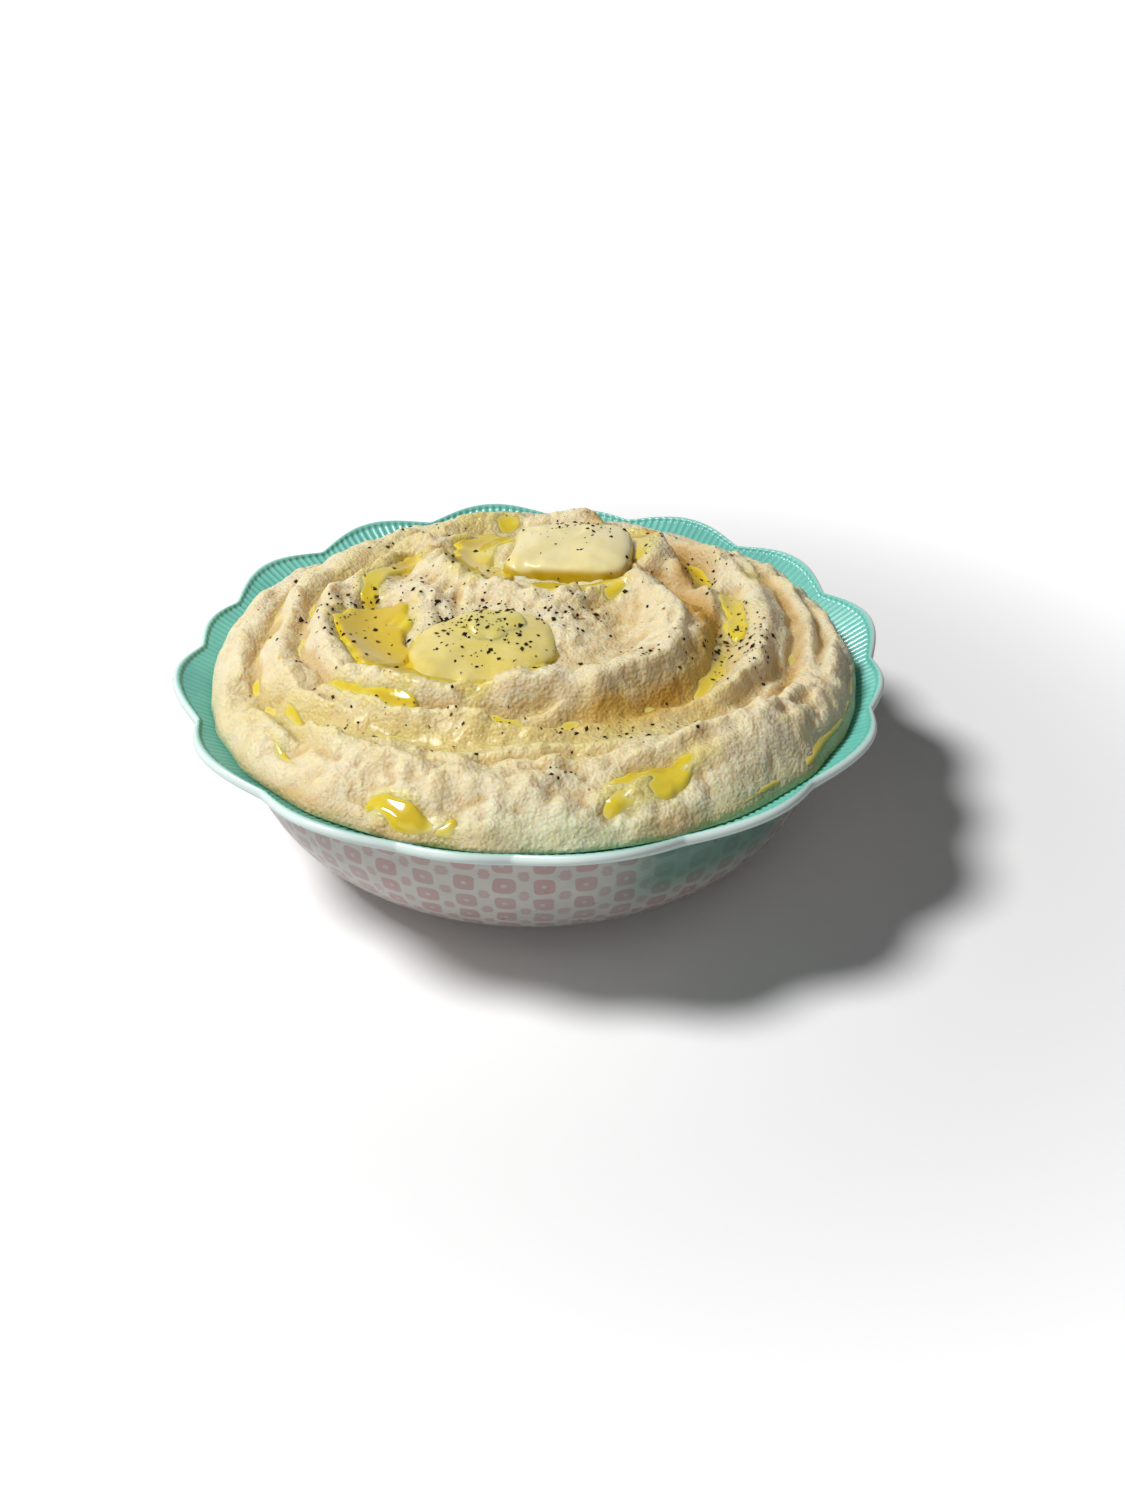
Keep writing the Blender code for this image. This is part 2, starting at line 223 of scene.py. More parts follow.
# Melted butter, as strokes: centre x, y, radius at start and end, first and last angle,
# half width, lift in millimetres, and how much it is a pond (1) or a run down a furrow (0)
POOLS = (
    (-0.12, 0.00, 0.325, 0.345, 174, 234, 0.110, 2.6, 1.0),
    (-0.12, -0.02, 0.330, 0.370, 222, 274, 0.120, 1.5, 1.0),
    (0.10, -0.12, 0.130, 0.250, 170, 258, 0.100, 1.1, 0.4),
    (0.05, 0.33, 0.235, 0.245, 126, 238, 0.095, 1.5, 0.9),
    (0.12, 0.38, 0.315, 0.315, 245, 296, 0.060, 0.9, 0.6),
    (0.12, 0.38, 0.195, 0.200, -34, 70, 0.058, 1.3, 0.9),
    (0.00, 0.00, 0.640, 0.660, 92, 114, 0.075, 0.7, 0.3),
    (-0.12, 0.00, 0.540, 0.530, 218, 256, 0.034, 0.5, 0.3),
    (0.00, 0.00, 0.840, 0.800, -78, -56, 0.060, 1.0, 0.9),
    (0.00, 0.00, 0.885, 0.922, -118, -100, 0.045, 1.2, 0.5),
    (-0.12, 0.00, 0.420, 0.360, 118, 174, 0.055, 0.7, 0.4),
    (0.00, 0.00, 0.565, 0.565, -13, 15, 0.045, 0.6, 0.3),
    (0.00, 0.00, 0.692, 0.692, 13, 27, 0.050, 0.7, 0.5),
    (0.00, 0.00, 0.740, 0.760, 210, 222, 0.020, 0.3, 0.2),
    (0.00, 0.00, 0.840, 0.880, -142, -128, 0.014, 0.4, 0.2),
)
# Paint on the potato, as strokes whose height is its strength.
# Soaked with butter but not flooded:
SOAKED = (
    (-0.05, 0.35, 0.985, 0.975, 234, 290, 0.080, 0.080, 0.62, 10, 10),
    (0.00, 0.00, 0.560, 0.560, -38, -18, 0.070, 0.060, 0.50, 10, 10),
    (0.00, 0.00, 0.600, 0.640, 100, 150, 0.050, 0.050, 0.45, 12, 12),
    (0.09, -0.13, 0.500, 0.480, -90, -40, 0.040, 0.060, 0.40, 14, 14),
)
# Painted amber shade on the potato: on the curl's shaded outer wall, down grooves and round the heap's foot:
AMBER_SHADE_STROKES = (
    (0.09, -0.13, 0.400, 0.375, -72, 46, 0.034, 0.060, 1.15, 16, 12),
    (0.12, 0.30, 0.345, 0.310, -12, 66, 0.045, 0.045, 1.0, 14, 14),
    (-0.12, 0.00, 0.400, 0.380, 118, 150, 0.045, 0.045, 0.6, 14, 14),
    (0.00, 0.00, 0.735, 0.745, -28, 14, 0.016, 0.016, 0.5, 12, 12),
    (0.00, 0.00, 0.930, 0.930, -66, 20, 0.020, 0.030, 0.7, 14, 14),
    (0.00, 0.00, 0.930, 0.930, 168, 262, 0.020, 0.030, 0.5, 14, 14),
)
# Green light off the glaze on the foot of the heap:
BOUNCES = (
    (0.00, 0.00, 0.925, 0.925, -90, -76, 0.050, 0.040, 0.6, 9, 7),
    (0.00, 0.00, 0.925, 0.925, -62, -50, 0.040, 0.040, 0.6, 7, 9),
)
# Melted butter: how widely the heap is blurred under runs and ponds, how deep its face sinks
# where it is dry, its distance from the top of the part, how near the potato it may come and
# be kept, how thick its skin is, and the depth where it is darkest
RUN_BLUR = 0.0022
POND_BLUR = 0.0060
POOL_SINK = 0.0016
POOL_GAP = 0.0004
POOL_NEAR = 0.0003
POOL_SKIN = 0.0012
POOL_DEEP = 0.0030
# Painted gold shade in the potato's hollows and furrows: how widely it is blurred to find the
# hollows, the hollow depth where the shade is strongest, and the furrow depth where it is strongest
HOLLOW_BLUR = 0.0032
HOLLOW_DEEP = 0.0011
FURROW_DEEP = 0.060 * RIM
# Pepper: x, y, spread across and along as shares of RIM, number of flakes
PEPPER = (
    (-0.17, -0.13, 0.075, 0.085, 95),
    (-0.02, -0.17, 0.070, 0.080, 26),
    (0.14, 0.42, 0.055, 0.050, 40),
    (0.57, -0.13, 0.050, 0.090, 55),
    (0.40, -0.30, 0.120, 0.090, 22),
    (0.07, -0.57, 0.200, 0.035, 42),
    (-0.40, -0.50, 0.080, 0.060, 12),
    (-0.45, 0.05, 0.090, 0.120, 55),
    (-0.55, -0.10, 0.040, 0.080, 22),
    (0.12, -0.06, 0.060, 0.050, 18),
    (0.14, -0.34, 0.060, 0.030, 10),
    (0.08, -0.75, 0.030, 0.020, 5),
    (0.50, 0.30, 0.080, 0.080, 28),
    (0.00, 0.10, 0.350, 0.350, 60),
    (-0.10, 0.60, 0.250, 0.120, 30),
    (0.00, 0.00, 0.500, 0.500, 40),
)
SPICE = ((0, -0.1, 0.4, 0.4, 40), (-0.35, -0.5, 0.1, 0.07, 9))
PEPPER_REACH = 0.86 * RIM
FLAKE_SIZES = (0.35, 0.55, 0.8, 1.0)
FLAKE_SHARES = (0.3, 0.35, 0.25, 0.1)

# Stage: half the floor's side; each light's name, place, width and power; the camera's place as
# shares of RIM from the middle of the rim's plane, its tilt in degrees and its lens in millimetres
FLOOR_HALF = 6.0
LIGHTS = (
    ("key", (-0.85, -0.20, 1.37), 0.42, 25.0),
    ("fill", (-0.55, -1.3, 0.40), 0.9, 2.6),
)
CAMERA_PLACE = (0.0805, -3.4825, 1.9443)
CAMERA_TILT = 56.60
CAMERA_LENS = 33.67


# Shapes


def noise(x, y, cell, seed):
    """Smooth noise from -1 to 1: random values on a square lattice, eased from one to the next."""
    table = np.random.default_rng(seed).uniform(-1, 1, (97, 97))
    x, y = x / cell, y / cell
    column, row = np.floor(x).astype(int), np.floor(y).astype(int)
    across, along = x - column, y - row
    across, along = across**2 * (3 - 2 * across), along**2 * (3 - 2 * along)

    def corner(right, up):
        return table[(column + right) % 97, (row + up) % 97]

    near = corner(0, 0) + (corner(1, 0) - corner(0, 0)) * across
    far = corner(0, 1) + (corner(1, 1) - corner(0, 1)) * across
    return near + (far - near) * along


def ease(value):
    """Zero below 0, one above 1, and a smooth step between."""
    value = np.clip(value, 0, 1)
    return value**2 * (3 - 2 * value)


def edge_radius(angle):
    """Radius of the scalloped edge: one small and three large scallops a quarter turn, each a
    raised sine bump between two cusps."""
    along = (angle - FIRST_CUSP) % 90
    small = along < SMALL_WIDTH
    share = np.where(small, along / SMALL_WIDTH, (along - SMALL_WIDTH) % LARGE_WIDTH / LARGE_WIDTH)
    crest = np.where(small, SMALL_CREST, RIM)
    return CUSP_EDGE + (crest - CUSP_EDGE) * np.sin(math.pi * share) ** SCALLOP_POWER


def flare_height(radius):
    """Height of the flare's upper face, a cone."""
    return RIM_HEIGHT + FLARE_SLOPE * (radius - RIM_MEAN)


def wall_curve(count):
    """Outer wall from the foot up: a quarter of a superellipse, as rows of radius and height."""
    share = np.linspace(0, 1, count) ** 1.8
    reach = (1 - (1 - share) ** FULLNESS) ** (1 / FULLNESS)
    radius = FOOT_RADIUS + (WALL_TOP_RADIUS - FOOT_RADIUS) * reach
    return np.stack([radius, WALL_BASE + (WALL_TOP - WALL_BASE) * share], axis=1)


def inner_curve(distance, count):
    """The inside at a distance from the outer wall, from the floor's middle up to the flare."""
    curve = wall_curve(count)
    along = np.gradient(curve, axis=0)
    square = np.stack([-along[:, 1], along[:, 0]], axis=1)
    wall = (curve + distance * square / np.linalg.norm(square, axis=1, keepdims=True))[1:-1]
    corner = WALL_TOP_RADIUS - distance + 0.0022
    lift = (distance - WALL) * math.hypot(1, FLARE_SLOPE)
    floor = (0.0, wall[0, 1]), (0.6 * wall[0, 0], wall[0, 1])
    return np.array([*floor, *wall, (corner, flare_height(corner) + lift)])


def stroke_height(u, v, stroke):
    """A spoon stroke: a ridge or furrow along an arc, its two sides bell curves of their own
    widths, fading past both ends."""
    cx, cy, first, last, start, end, inner, outer, height, fade_in, fade_out = stroke
    across, up = u - cx, v - cy
    angle = (np.degrees(np.arctan2(up, across)) - start) % 360
    sweep = end - start
    before = angle > (360 + sweep) / 2
    past = np.where(before, (360 - angle) / fade_in, np.maximum(angle - sweep, 0) / fade_out)
    share = np.where(before, 0, np.clip(angle / sweep, 0, 1))
    off = np.hypot(across, up) - first - (last - first) * share
    off = off / np.where(off < 0, inner, outer)
    return height * np.exp(-(off**2) - past**2)


def relief(x, y):
    """Height of the ridges and depth of the furrows over the even dome, in metres: ridges are
    joined by a power mean so that folds meet in creases, and furrows by the deepest."""
    u = x / RIM + 0.016 * noise(x, y, 0.021, 3) + 0.008 * noise(x, y, 0.007, 4)
    v = y / RIM + 0.016 * noise(x, y, 0.021, 5) + 0.008 * noise(x, y, 0.007, 6)
    strokes = np.array([stroke_height(u, v, stroke) for stroke in STROKES])
    dabs = np.array(
        [h * np.exp(-(((u - cx) / a) ** 2) - ((v - cy) / b) ** 2) for cx, cy, a, b, h in DABS]
    )
    every = np.concatenate([strokes, dabs])
    ridges = (np.maximum(every, 0) ** STROKE_BLEND).sum(0) ** (1 / STROKE_BLEND)
    furrows = (np.maximum(-every, 0) ** STROKE_BLEND).sum(0) ** (1 / STROKE_BLEND)
    return RIM * ridges, RIM * furrows


def mash_edge(angle):
    """Radius of the heap's foot on the flare: a wavering circle, fuller towards the front and
    drawn in towards the back."""
    turn = (angle + 90) % 360 - 180
    front = np.exp(-(((180 - np.abs(turn)) / FRONT_SPREAD) ** 4))
    back = np.exp(-((turn / BACK_SPREAD) ** 4))
    way = np.radians(angle)
    waver = EDGE_WAVER * np.sin(3 * way) + EDGE_ROUGH * noise(np.cos(way), np.sin(way), 0.11, 8)
    return MASH_EDGE * (1 + FRONT_REACH * front - BACK_DRAW * back + waver)


def pat_seat(x, y, pat, sunk):
    """How far a point lies under a pat, from 0 to 1, and the height of the potato under it."""
    (cx, cy, cz), (length, depth, _), lean = pat
    turn = math.radians(lean[2])
    u = (x - cx) * math.cos(turn) + (y - cy) * math.sin(turn)
    v = (y - cy) * math.cos(turn) - (x - cx) * math.sin(turn)
    under = ease((SEAT_REACH - np.hypot(2 * u / length, 2 * v / depth)) / SEAT_BLEND)
    seat = cz + v * math.tan(math.radians(lean[0])) - u * math.tan(math.radians(lean[1]))
    return under, seat + sunk


def mash_height(x, y):
    """Height of the heap: a flat-topped dome with strokes, lumps and grain on it, hollowed under
    the pats, and rounded down to the flare at its foot. Also how deep its furrows are."""
    radius, angle = np.hypot(x, y), np.degrees(np.arctan2(y, x))
    edge = mash_edge(angle)
    ridges, furrows = relief(x, y)
    fade = ease((edge - radius) / FADE)
    fold = FOLD * noise(radius, np.radians(np.abs(angle)) * 0.012, 0.0030, 11) * ease(radius / 0.03)
    outer = ease((radius - OUTER) / FADE)
    lumps = BROAD_LUMP * noise(x, y, 0.013, 12) + (LUMP + OUTER_LUMP * outer) * noise(x, y, 0.0068, 13)
    knobs = np.abs(noise(x, y, 0.0085, 17)) + 0.5 * np.abs(noise(x, y, 0.0045, 18)) - 0.5
    lumps = lumps + (KNOB + OUTER_KNOB * outer) * knobs
    crests = 1 + 1.6 * ease(ridges / (0.05 * RIM))
    grain = GRAIN * crests * noise(x, y, 0.0034, 14) + FINE_GRAIN * noise(x, y, 0.0019, 15)
    calm = np.clip(1.1 - 12 * furrows / RIM, 0.4, 1) * (0.75 + 0.45 * noise(x, y, 0.02, 16))
    height = RIM_HEIGHT + CROWN * (1 - (radius / (DOME_REACH * edge)) ** DOME_POWER)
    height = height + fade * (ridges - furrows) + calm * (fold + lumps + grain)
    for pat, sunk in zip((BACK_PAT, FRONT_PAT), SUNK):
        under, seat = pat_seat(x, y, pat, sunk)
        height = height + (np.minimum(height, seat) - height) * under
    knee = TOP - TOP_KNEE - TOP_GAP
    height = np.where(height > knee, knee + TOP_KNEE * (1 - np.exp((knee - height) / TOP_KNEE)), height)
    foot = flare_height(edge) + GAP
    down = np.clip((radius - edge + SHOULDER) / SHOULDER, 0, 1)
    height = foot + (height - foot) * np.sqrt(np.maximum(1 - down**2.6, 0))
    return height, furrows


# Meshes


def closed_rows(rows):
    """Points and four-cornered faces of a closed skin from rows of rings, its first and last
    rows each drawn together to one point."""
    count, ring = rows.shape[:2]
    middle = rows[1:-1].reshape(-1, 3)
    points = np.concatenate([rows[:1, 0], middle, rows[-1:, 0]])
    index = 1 + np.arange((count - 2) * ring).reshape(count - 2, ring)
    after = np.roll(index, -1, axis=1)
    quads = np.stack([index[1:], after[1:], after[:-1], index[:-1]], axis=-1).reshape(-1, 4)
    first = np.stack([index[0], after[0], 0 * index[0], 0 * index[0]], axis=-1)
    last = np.stack([after[-1], index[-1], 0 * index[0] + len(points) - 1], axis=-1)
    last = np.concatenate([last, last[:, 2:]], axis=1)
    return points, quads, np.concatenate([first, last])


def make_mesh(name, points, quads, triangles=None, smooth=True):
    """A mesh from arrays of points, four-cornered faces and three-cornered ones."""
    mesh = bpy.data.meshes.new(name)
    triangles = np.zeros((0, 3), int) if triangles is None else triangles[:, :3]
    corners = np.concatenate([quads.ravel(), triangles.ravel()]).astype(np.int32)
    sizes = np.concatenate([np.full(len(quads), 4), np.full(len(triangles), 3)])
    starts = np.concatenate([[0], np.cumsum(sizes)[:-1]]).astype(np.int32)
    mesh.vertices.add(len(points))
    mesh.vertices.foreach_set("co", np.ascontiguousarray(points, np.float32).ravel())
    mesh.loops.add(len(corners))
    mesh.loops.foreach_set("vertex_index", corners)
    mesh.polygons.add(len(sizes))
    mesh.polygons.foreach_set("loop_start", starts)
    mesh.polygons.foreach_set("use_smooth", np.full(len(sizes), smooth))
    mesh.update(calc_edges=True)
    mesh.validate()
    return mesh


def paint(mesh, name, values):
    """Stores one number for each point of the mesh."""
    layer = mesh.attributes.new(name, "FLOAT", "POINT")
    layer.data.foreach_set("value", np.ascontiguousarray(values, np.float32))


def add_piece(name, mesh, material, nodes=()):
    """Adds a finished piece that rides on the part and stands for the named nodes."""
    piece = bpy.data.objects.new(name, mesh)
    bpy.context.scene.collection.objects.link(piece)
    mesh.materials.append(material)
    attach(piece, "root")
    if nodes:
        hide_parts(*nodes)
    return piece


# Materials


class Nodes:
    """Adds nodes to a tree and joins them: a number or colour is set, a socket is linked."""

    def __init__(self, tree):
        self.tree = tree

    def add(self, kind, settings=None, **inputs):
        node = self.tree.nodes.new(kind)
        for name, value in (settings or {}).items():
            setattr(node, name, value)
        for name, value in inputs.items():
            self.put(node.inputs[int(name[1:]) if name[1:].isdigit() else name.replace("_", " ")], value)
        return node

    def put(self, socket, value):
        if isinstance(value, bpy.types.NodeSocket):
            self.tree.links.new(value, socket)
        elif isinstance(value, (tuple, list)) and len(value) == 3 and len(socket.default_value) == 4:
            socket.default_value = (*value, 1)
        else:
            socket.default_value = value

    def math(self, operation, a, b=0.0, c=0.0, clamp=False):
        settings = {"operation": operation, "use_clamp": clamp}
        return self.add("ShaderNodeMath", settings, i0=a, i1=b, i2=c).outputs[0]

    def mix(self, share, a, b, blend="MIX"):
        node = self.add("ShaderNodeMix", {"data_type": "RGBA", "blend_type": blend})
        for socket, value in zip((node.inputs[0], node.inputs[6], node.inputs[7]), (share, a, b)):
            self.put(socket, value)
        return node.outputs[2]

    def step(self, value, low, high):
        """Zero below low, one above high, smooth between."""
        node = self.add("ShaderNodeMapRange", {"interpolation_type": "SMOOTHSTEP"})
        for name, given in (("Value", value), ("From Min", low), ("From Max", high)):
            self.put(node.inputs[name], given)
        return node.outputs[0]

    def attribute(self, name):
        return self.add("ShaderNodeAttribute", {"attribute_name": name}).outputs["Fac"]

    def place(self):
        return self.add("ShaderNodeTexCoord").outputs["Object"]

    def noise(self, scale, detail=2.0, vector=None):
        node = self.add("ShaderNodeTexNoise", Scale=scale, Detail=detail)
        self.put(node.inputs["Vector"], vector or self.place())
        return node.outputs["Fac"]


def new_group(name, inputs, outputs):
    """An empty shader node group with named inputs and outputs, and its end nodes."""
    tree = bpy.data.node_groups.new(name, "ShaderNodeTree")
    for side, sockets in (("INPUT", inputs), ("OUTPUT", outputs)):
        for label, kind in sockets:
            tree.interface.new_socket(label, in_out=side, socket_type=f"NodeSocket{kind}")
    nodes = Nodes(tree)
    return nodes, nodes.add("NodeGroupInput").outputs, nodes.add("NodeGroupOutput").inputs


def mottle_group():
    """Two colours in soft blotches of one size with smaller ones on top."""
    if "Mottle" in bpy.data.node_groups:
        return bpy.data.node_groups["Mottle"]
    inputs = (("Colour", "Color"), ("Blotch", "Color"), ("Scale", "Float"), ("Amount", "Float"))
    nodes, given, made = new_group("Mottle", inputs, (("Colour", "Color"), ("Mask", "Float")))
    broad = nodes.noise(given["Scale"], 3.0)
    small = nodes.noise(nodes.math("MULTIPLY", given["Scale"], 4.3), 2.0)
    mask = nodes.step(nodes.math("MULTIPLY_ADD", small, 0.4, broad), 0.55, 0.85)
    mask = nodes.math("MULTIPLY", mask, given["Amount"])
    nodes.put(made["Colour"], nodes.mix(mask, given["Colour"], given["Blotch"]))
    nodes.put(made["Mask"], mask)
    return nodes.tree


def curd_group():
    """Height of a creamy, slightly curdled surface: soft lumps, grains and rare pits."""
    if "Curd" in bpy.data.node_groups:
        return bpy.data.node_groups["Curd"]
    inputs = (("Scale", "Float"), ("Grain", "Float"))
    nodes, given, made = new_group("Curd", inputs, (("Height", "Float"),))
    soft = nodes.noise(given["Scale"], 3.0)
    cells = nodes.add("ShaderNodeTexVoronoi", {"feature": "SMOOTH_F1"}, Vector=nodes.place())
    nodes.put(cells.inputs["Scale"], nodes.math("MULTIPLY", given["Scale"], 2.2))
    grains = nodes.math("MULTIPLY", cells.outputs["Distance"], given["Grain"])
    pits = nodes.step(nodes.noise(nodes.math("MULTIPLY", given["Scale"], 1.4), 1.0), 0.34, 0.22)
    height = nodes.math("SUBTRACT", nodes.math("SUBTRACT", soft, grains), nodes.math("MULTIPLY", pits, 0.4))
    nodes.put(made["Height"], height)
    return nodes.tree


def new_material(name):
    """A material with an empty tree but for its shader."""
    material = bpy.data.materials.new(name)
    material.use_nodes = True
    nodes = Nodes(material.node_tree)
    return material, nodes, material.node_tree.nodes["Principled BSDF"]


def use_group(nodes, tree, **inputs):
    node = nodes.add("ShaderNodeGroup", {"node_tree": tree})
    for name, value in inputs.items():
        nodes.put(node.inputs[name], value)
    return node.outputs


def mottled_color(nodes, color, blotch, scale, amount):
    """A colour with blotches of another, from the Mottle group."""
    settings = {"Colour": tuple(color), "Blotch": tuple(blotch), "Scale": scale, "Amount": amount}
    return use_group(nodes, mottle_group(), **settings)["Colour"]


def set_sockets(nodes, shader, values):
    for name, value in values.items():
        nodes.put(shader.inputs[name], value)


def mash_material(colors):
    """Moist creamed potato: cream with warmer blotches, painted gold shade down its furrows and in its
    hollows, painted amber shade on shaded walls, a painted green reflection of the glaze at its foot,
    and wet where the butter has run."""
    material, nodes, shader = new_material("creamed potato")
    base = mottled_color(nodes, colors.mash, colors.mash_warm, 70.0, 0.45)
    furrow_shade = nodes.attribute("furrow_shade")
    butter = nodes.attribute("butter")
    # painted gold shade down the furrows and in the hollows
    base = nodes.mix(nodes.math("MULTIPLY", furrow_shade, 0.75), base, tuple(colors.furrow_shade))
    # painted amber shade on shaded walls and in grooves
    base = nodes.mix(nodes.attribute("glow"), base, tuple(colors.amber))
    base = nodes.mix(butter, base, tuple(colors.stained))
    base = nodes.mix(nodes.math("MULTIPLY", nodes.attribute("bounce"), 0.6), base, tuple(colors.mint))
    height = use_group(nodes, curd_group(), Scale=430.0, Grain=0.9)["Height"]
    bump = nodes.add("ShaderNodeBump", Strength=0.85, Distance=0.0008, Height=height)
    rough = nodes.math("MULTIPLY_ADD", butter, -0.22, 0.5)
    set_sockets(nodes, shader, {
        "Base Color": base,
        "Roughness": rough,
        "Normal": bump.outputs[0],
        "Subsurface Weight": 0.7,
        "Subsurface Radius": (1.0, 0.68, 0.26),
        "Subsurface Scale": 0.006,
        "Specular IOR Level": 0.25,
        "Coat Weight": nodes.math("MULTIPLY", butter, 0.3),
        "Coat Roughness": 0.18,
    })
    return material


def pat_material(name, color, painted_shade):
    """Softened butter: waxy, with painted shade in a deeper yellow low on its sides."""
    material, nodes, shader = new_material(name)
    pale = tuple(0.2 + 0.8 * c for c in color)
    base = mottled_color(nodes, color, pale, 90.0, 0.5)
    shade = nodes.attribute("side")
    height = use_group(nodes, curd_group(), Scale=160.0, Grain=0.3)["Height"]
    bump = nodes.add("ShaderNodeBump", Strength=0.25, Distance=0.0005, Height=height)
    set_sockets(nodes, shader, {
        "Base Color": nodes.mix(shade, base, tuple(painted_shade)),
        "Roughness": nodes.math("MULTIPLY_ADD", shade, -0.1, 0.32),
        "Normal": bump.outputs[0],
        "Subsurface Weight": 0.45,
        "Subsurface Radius": (1.0, 0.75, 0.15),
        "Subsurface Scale": 0.004,
        "Specular IOR Level": 0.3,
        "Coat Weight": 0.2,
        "Coat Roughness": 0.12,
    })
    return material


def melted_material(colors):
    """Melted butter: pale where it is a film, yellower where deep, darkest where deepest."""
    material, nodes, shader = new_material("melted butter")
    depth = nodes.attribute("depth")
    mottled = mottled_color(nodes, colors.melted, colors.melted_deep, 60.0, 0.4)
    base = nodes.mix(nodes.step(depth, 0.0, 0.3), tuple(colors.film), mottled)
    base = nodes.mix(nodes.step(depth, 0.55, 1.0), base, tuple(colors.melted_deep))
    wave = use_group(nodes, curd_group(), Scale=110.0, Grain=0.1)["Height"]
    bump = nodes.add("ShaderNodeBump", Strength=0.12, Distance=0.0004, Height=wave)
    set_sockets(nodes, shader, {
        "Base Color": base,
        "Roughness": nodes.math("MULTIPLY_ADD", nodes.step(depth, 0.0, 0.3), -0.2, 0.32),
        "Normal": bump.outputs[0],
        "Subsurface Weight": 0.25,
        "Subsurface Radius": (1.0, 0.8, 0.1),
        "Subsurface Scale": 0.002,
        "Specular IOR Level": 0.25,
        "Coat Weight": 0.3,
        "Coat Roughness": 0.05,
    })
    return material


def speck_material(name, color, dark):
    """Cracked spice: mottled from flake to flake."""
    material, nodes, shader = new_material(name)
    base = mottled_color(nodes, color, dark, 600.0, 0.9)
    height = use_group(nodes, curd_group(), Scale=2500.0, Grain=0.8)["Height"]
    bump = nodes.add("ShaderNodeBump", Strength=0.5, Distance=0.0002, Height=height)
    set_sockets(nodes, shader, {
        "Base Color": base,
        "Roughness": 0.75,
        "Specular IOR Level": 0.12,
        "Normal": bump.outputs[0],
    })
    return material


def print_mask(nodes):
    """The outer print, on the bowl's own UV: rounded squares with a pale dab in each, and small
    four-petal sprigs in the gaps between them. One unit of U and V is one square and its gap."""
    wall = nodes.add("ShaderNodeUVMap", {"uv_map": "wall"}).outputs[0]
    split = nodes.add("ShaderNodeSeparateXYZ", Vector=wall)
    wobble = nodes.noise(95.0, 1.0)
    u = nodes.math("MULTIPLY_ADD", wobble, 0.22, split.outputs["X"])
    v = nodes.math("MULTIPLY_ADD", wobble, -0.22, split.outputs["Y"])

    def shape(shift_u, shift_v, half_u, half_v, power):
        """A rounded square: the sum of both distances, each to a power, is under one."""
        total = 0.0
        for value, shift, half in ((u, shift_u, half_u), (v, shift_v, half_v)):
            off = nodes.math("SUBTRACT", nodes.math("FRACT", nodes.math("ADD", value, shift)), 0.5)
            share = nodes.math("DIVIDE", nodes.math("ABSOLUTE", off), half)
            total = nodes.math("ADD", nodes.math("POWER", share, power), total)
        return nodes.step(total, 1.25, 0.8)

    square = shape(0.0, 0.0, 0.27, 0.37, 4.0)
    dab = shape(0.0, 0.0, 0.07, 0.09, 2.0)
    petals = shape(0.5, 0.36, 0.13, 0.09, 2.0)
    for petal in ((0.5, 0.64, 0.13, 0.09), (0.42, 0.5, 0.08, 0.08), (0.58, 0.5, 0.08, 0.08)):
        petals = nodes.math("MAXIMUM", petals, shape(*petal, 2.0))
    solid = nodes.math("SUBTRACT", square, nodes.math("MULTIPLY", dab, 0.7), clamp=True)
    return nodes.math("MAXIMUM", solid, nodes.math("MULTIPLY", petals, 0.8))


def bowl_material(colors):
    """Glazed stoneware: turquoise inside, deeper between the ribs, thin and pale over the lip,
    and a grey-white wall with a faded pink print outside."""
    material, nodes, shader = new_material("bowl glaze")
    inside = mottled_color(nodes, colors.glaze, colors.glaze_deep, 26.0, 0.35)
    inside = nodes.mix(nodes.math("MULTIPLY", nodes.attribute("rib"), 0.55), inside, tuple(colors.glaze_deep))
    wall = mottled_color(nodes, colors.wall, colors.wall_cool, 30.0, 0.6)
    fade = nodes.step(nodes.noise(38.0, 2.0), 0.25, 0.75)
    pink = nodes.mix(fade, tuple(colors.pink), tuple(colors.pink_pale))
    printed = nodes.math("MULTIPLY", print_mask(nodes), nodes.attribute("printed"))
    wall = nodes.mix(nodes.math("MULTIPLY", printed, 0.62), wall, pink)
    # a teal patch on the outer wall, at the right front
    wall = nodes.mix(nodes.math("MULTIPLY", nodes.attribute("wash"), 0.8), wall, tuple(colors.wash))
    base = nodes.mix(nodes.attribute("outside"), inside, wall)
    base = nodes.mix(nodes.attribute("lip"), base, tuple(colors.lip))
    wave = use_group(nodes, curd_group(), Scale=60.0, Grain=0.15)["Height"]
    bump = nodes.add("ShaderNodeBump", Strength=0.08, Distance=0.0006, Height=wave)
    set_sockets(nodes, shader, {
        "Base Color": base,
        "Roughness": nodes.math("MULTIPLY_ADD", nodes.noise(140.0, 2.0), 0.10, 0.24),
        "Normal": bump.outputs[0],
        "Coat Weight": 0.25,
        "Coat Roughness": 0.12,
    })
    return material


# Settings


def color(name, description, value):
    """A colour setting."""
    return FloatVectorProperty(
        name=name, description=description, subtype="COLOR", size=3, min=0, max=1, default=value
    )


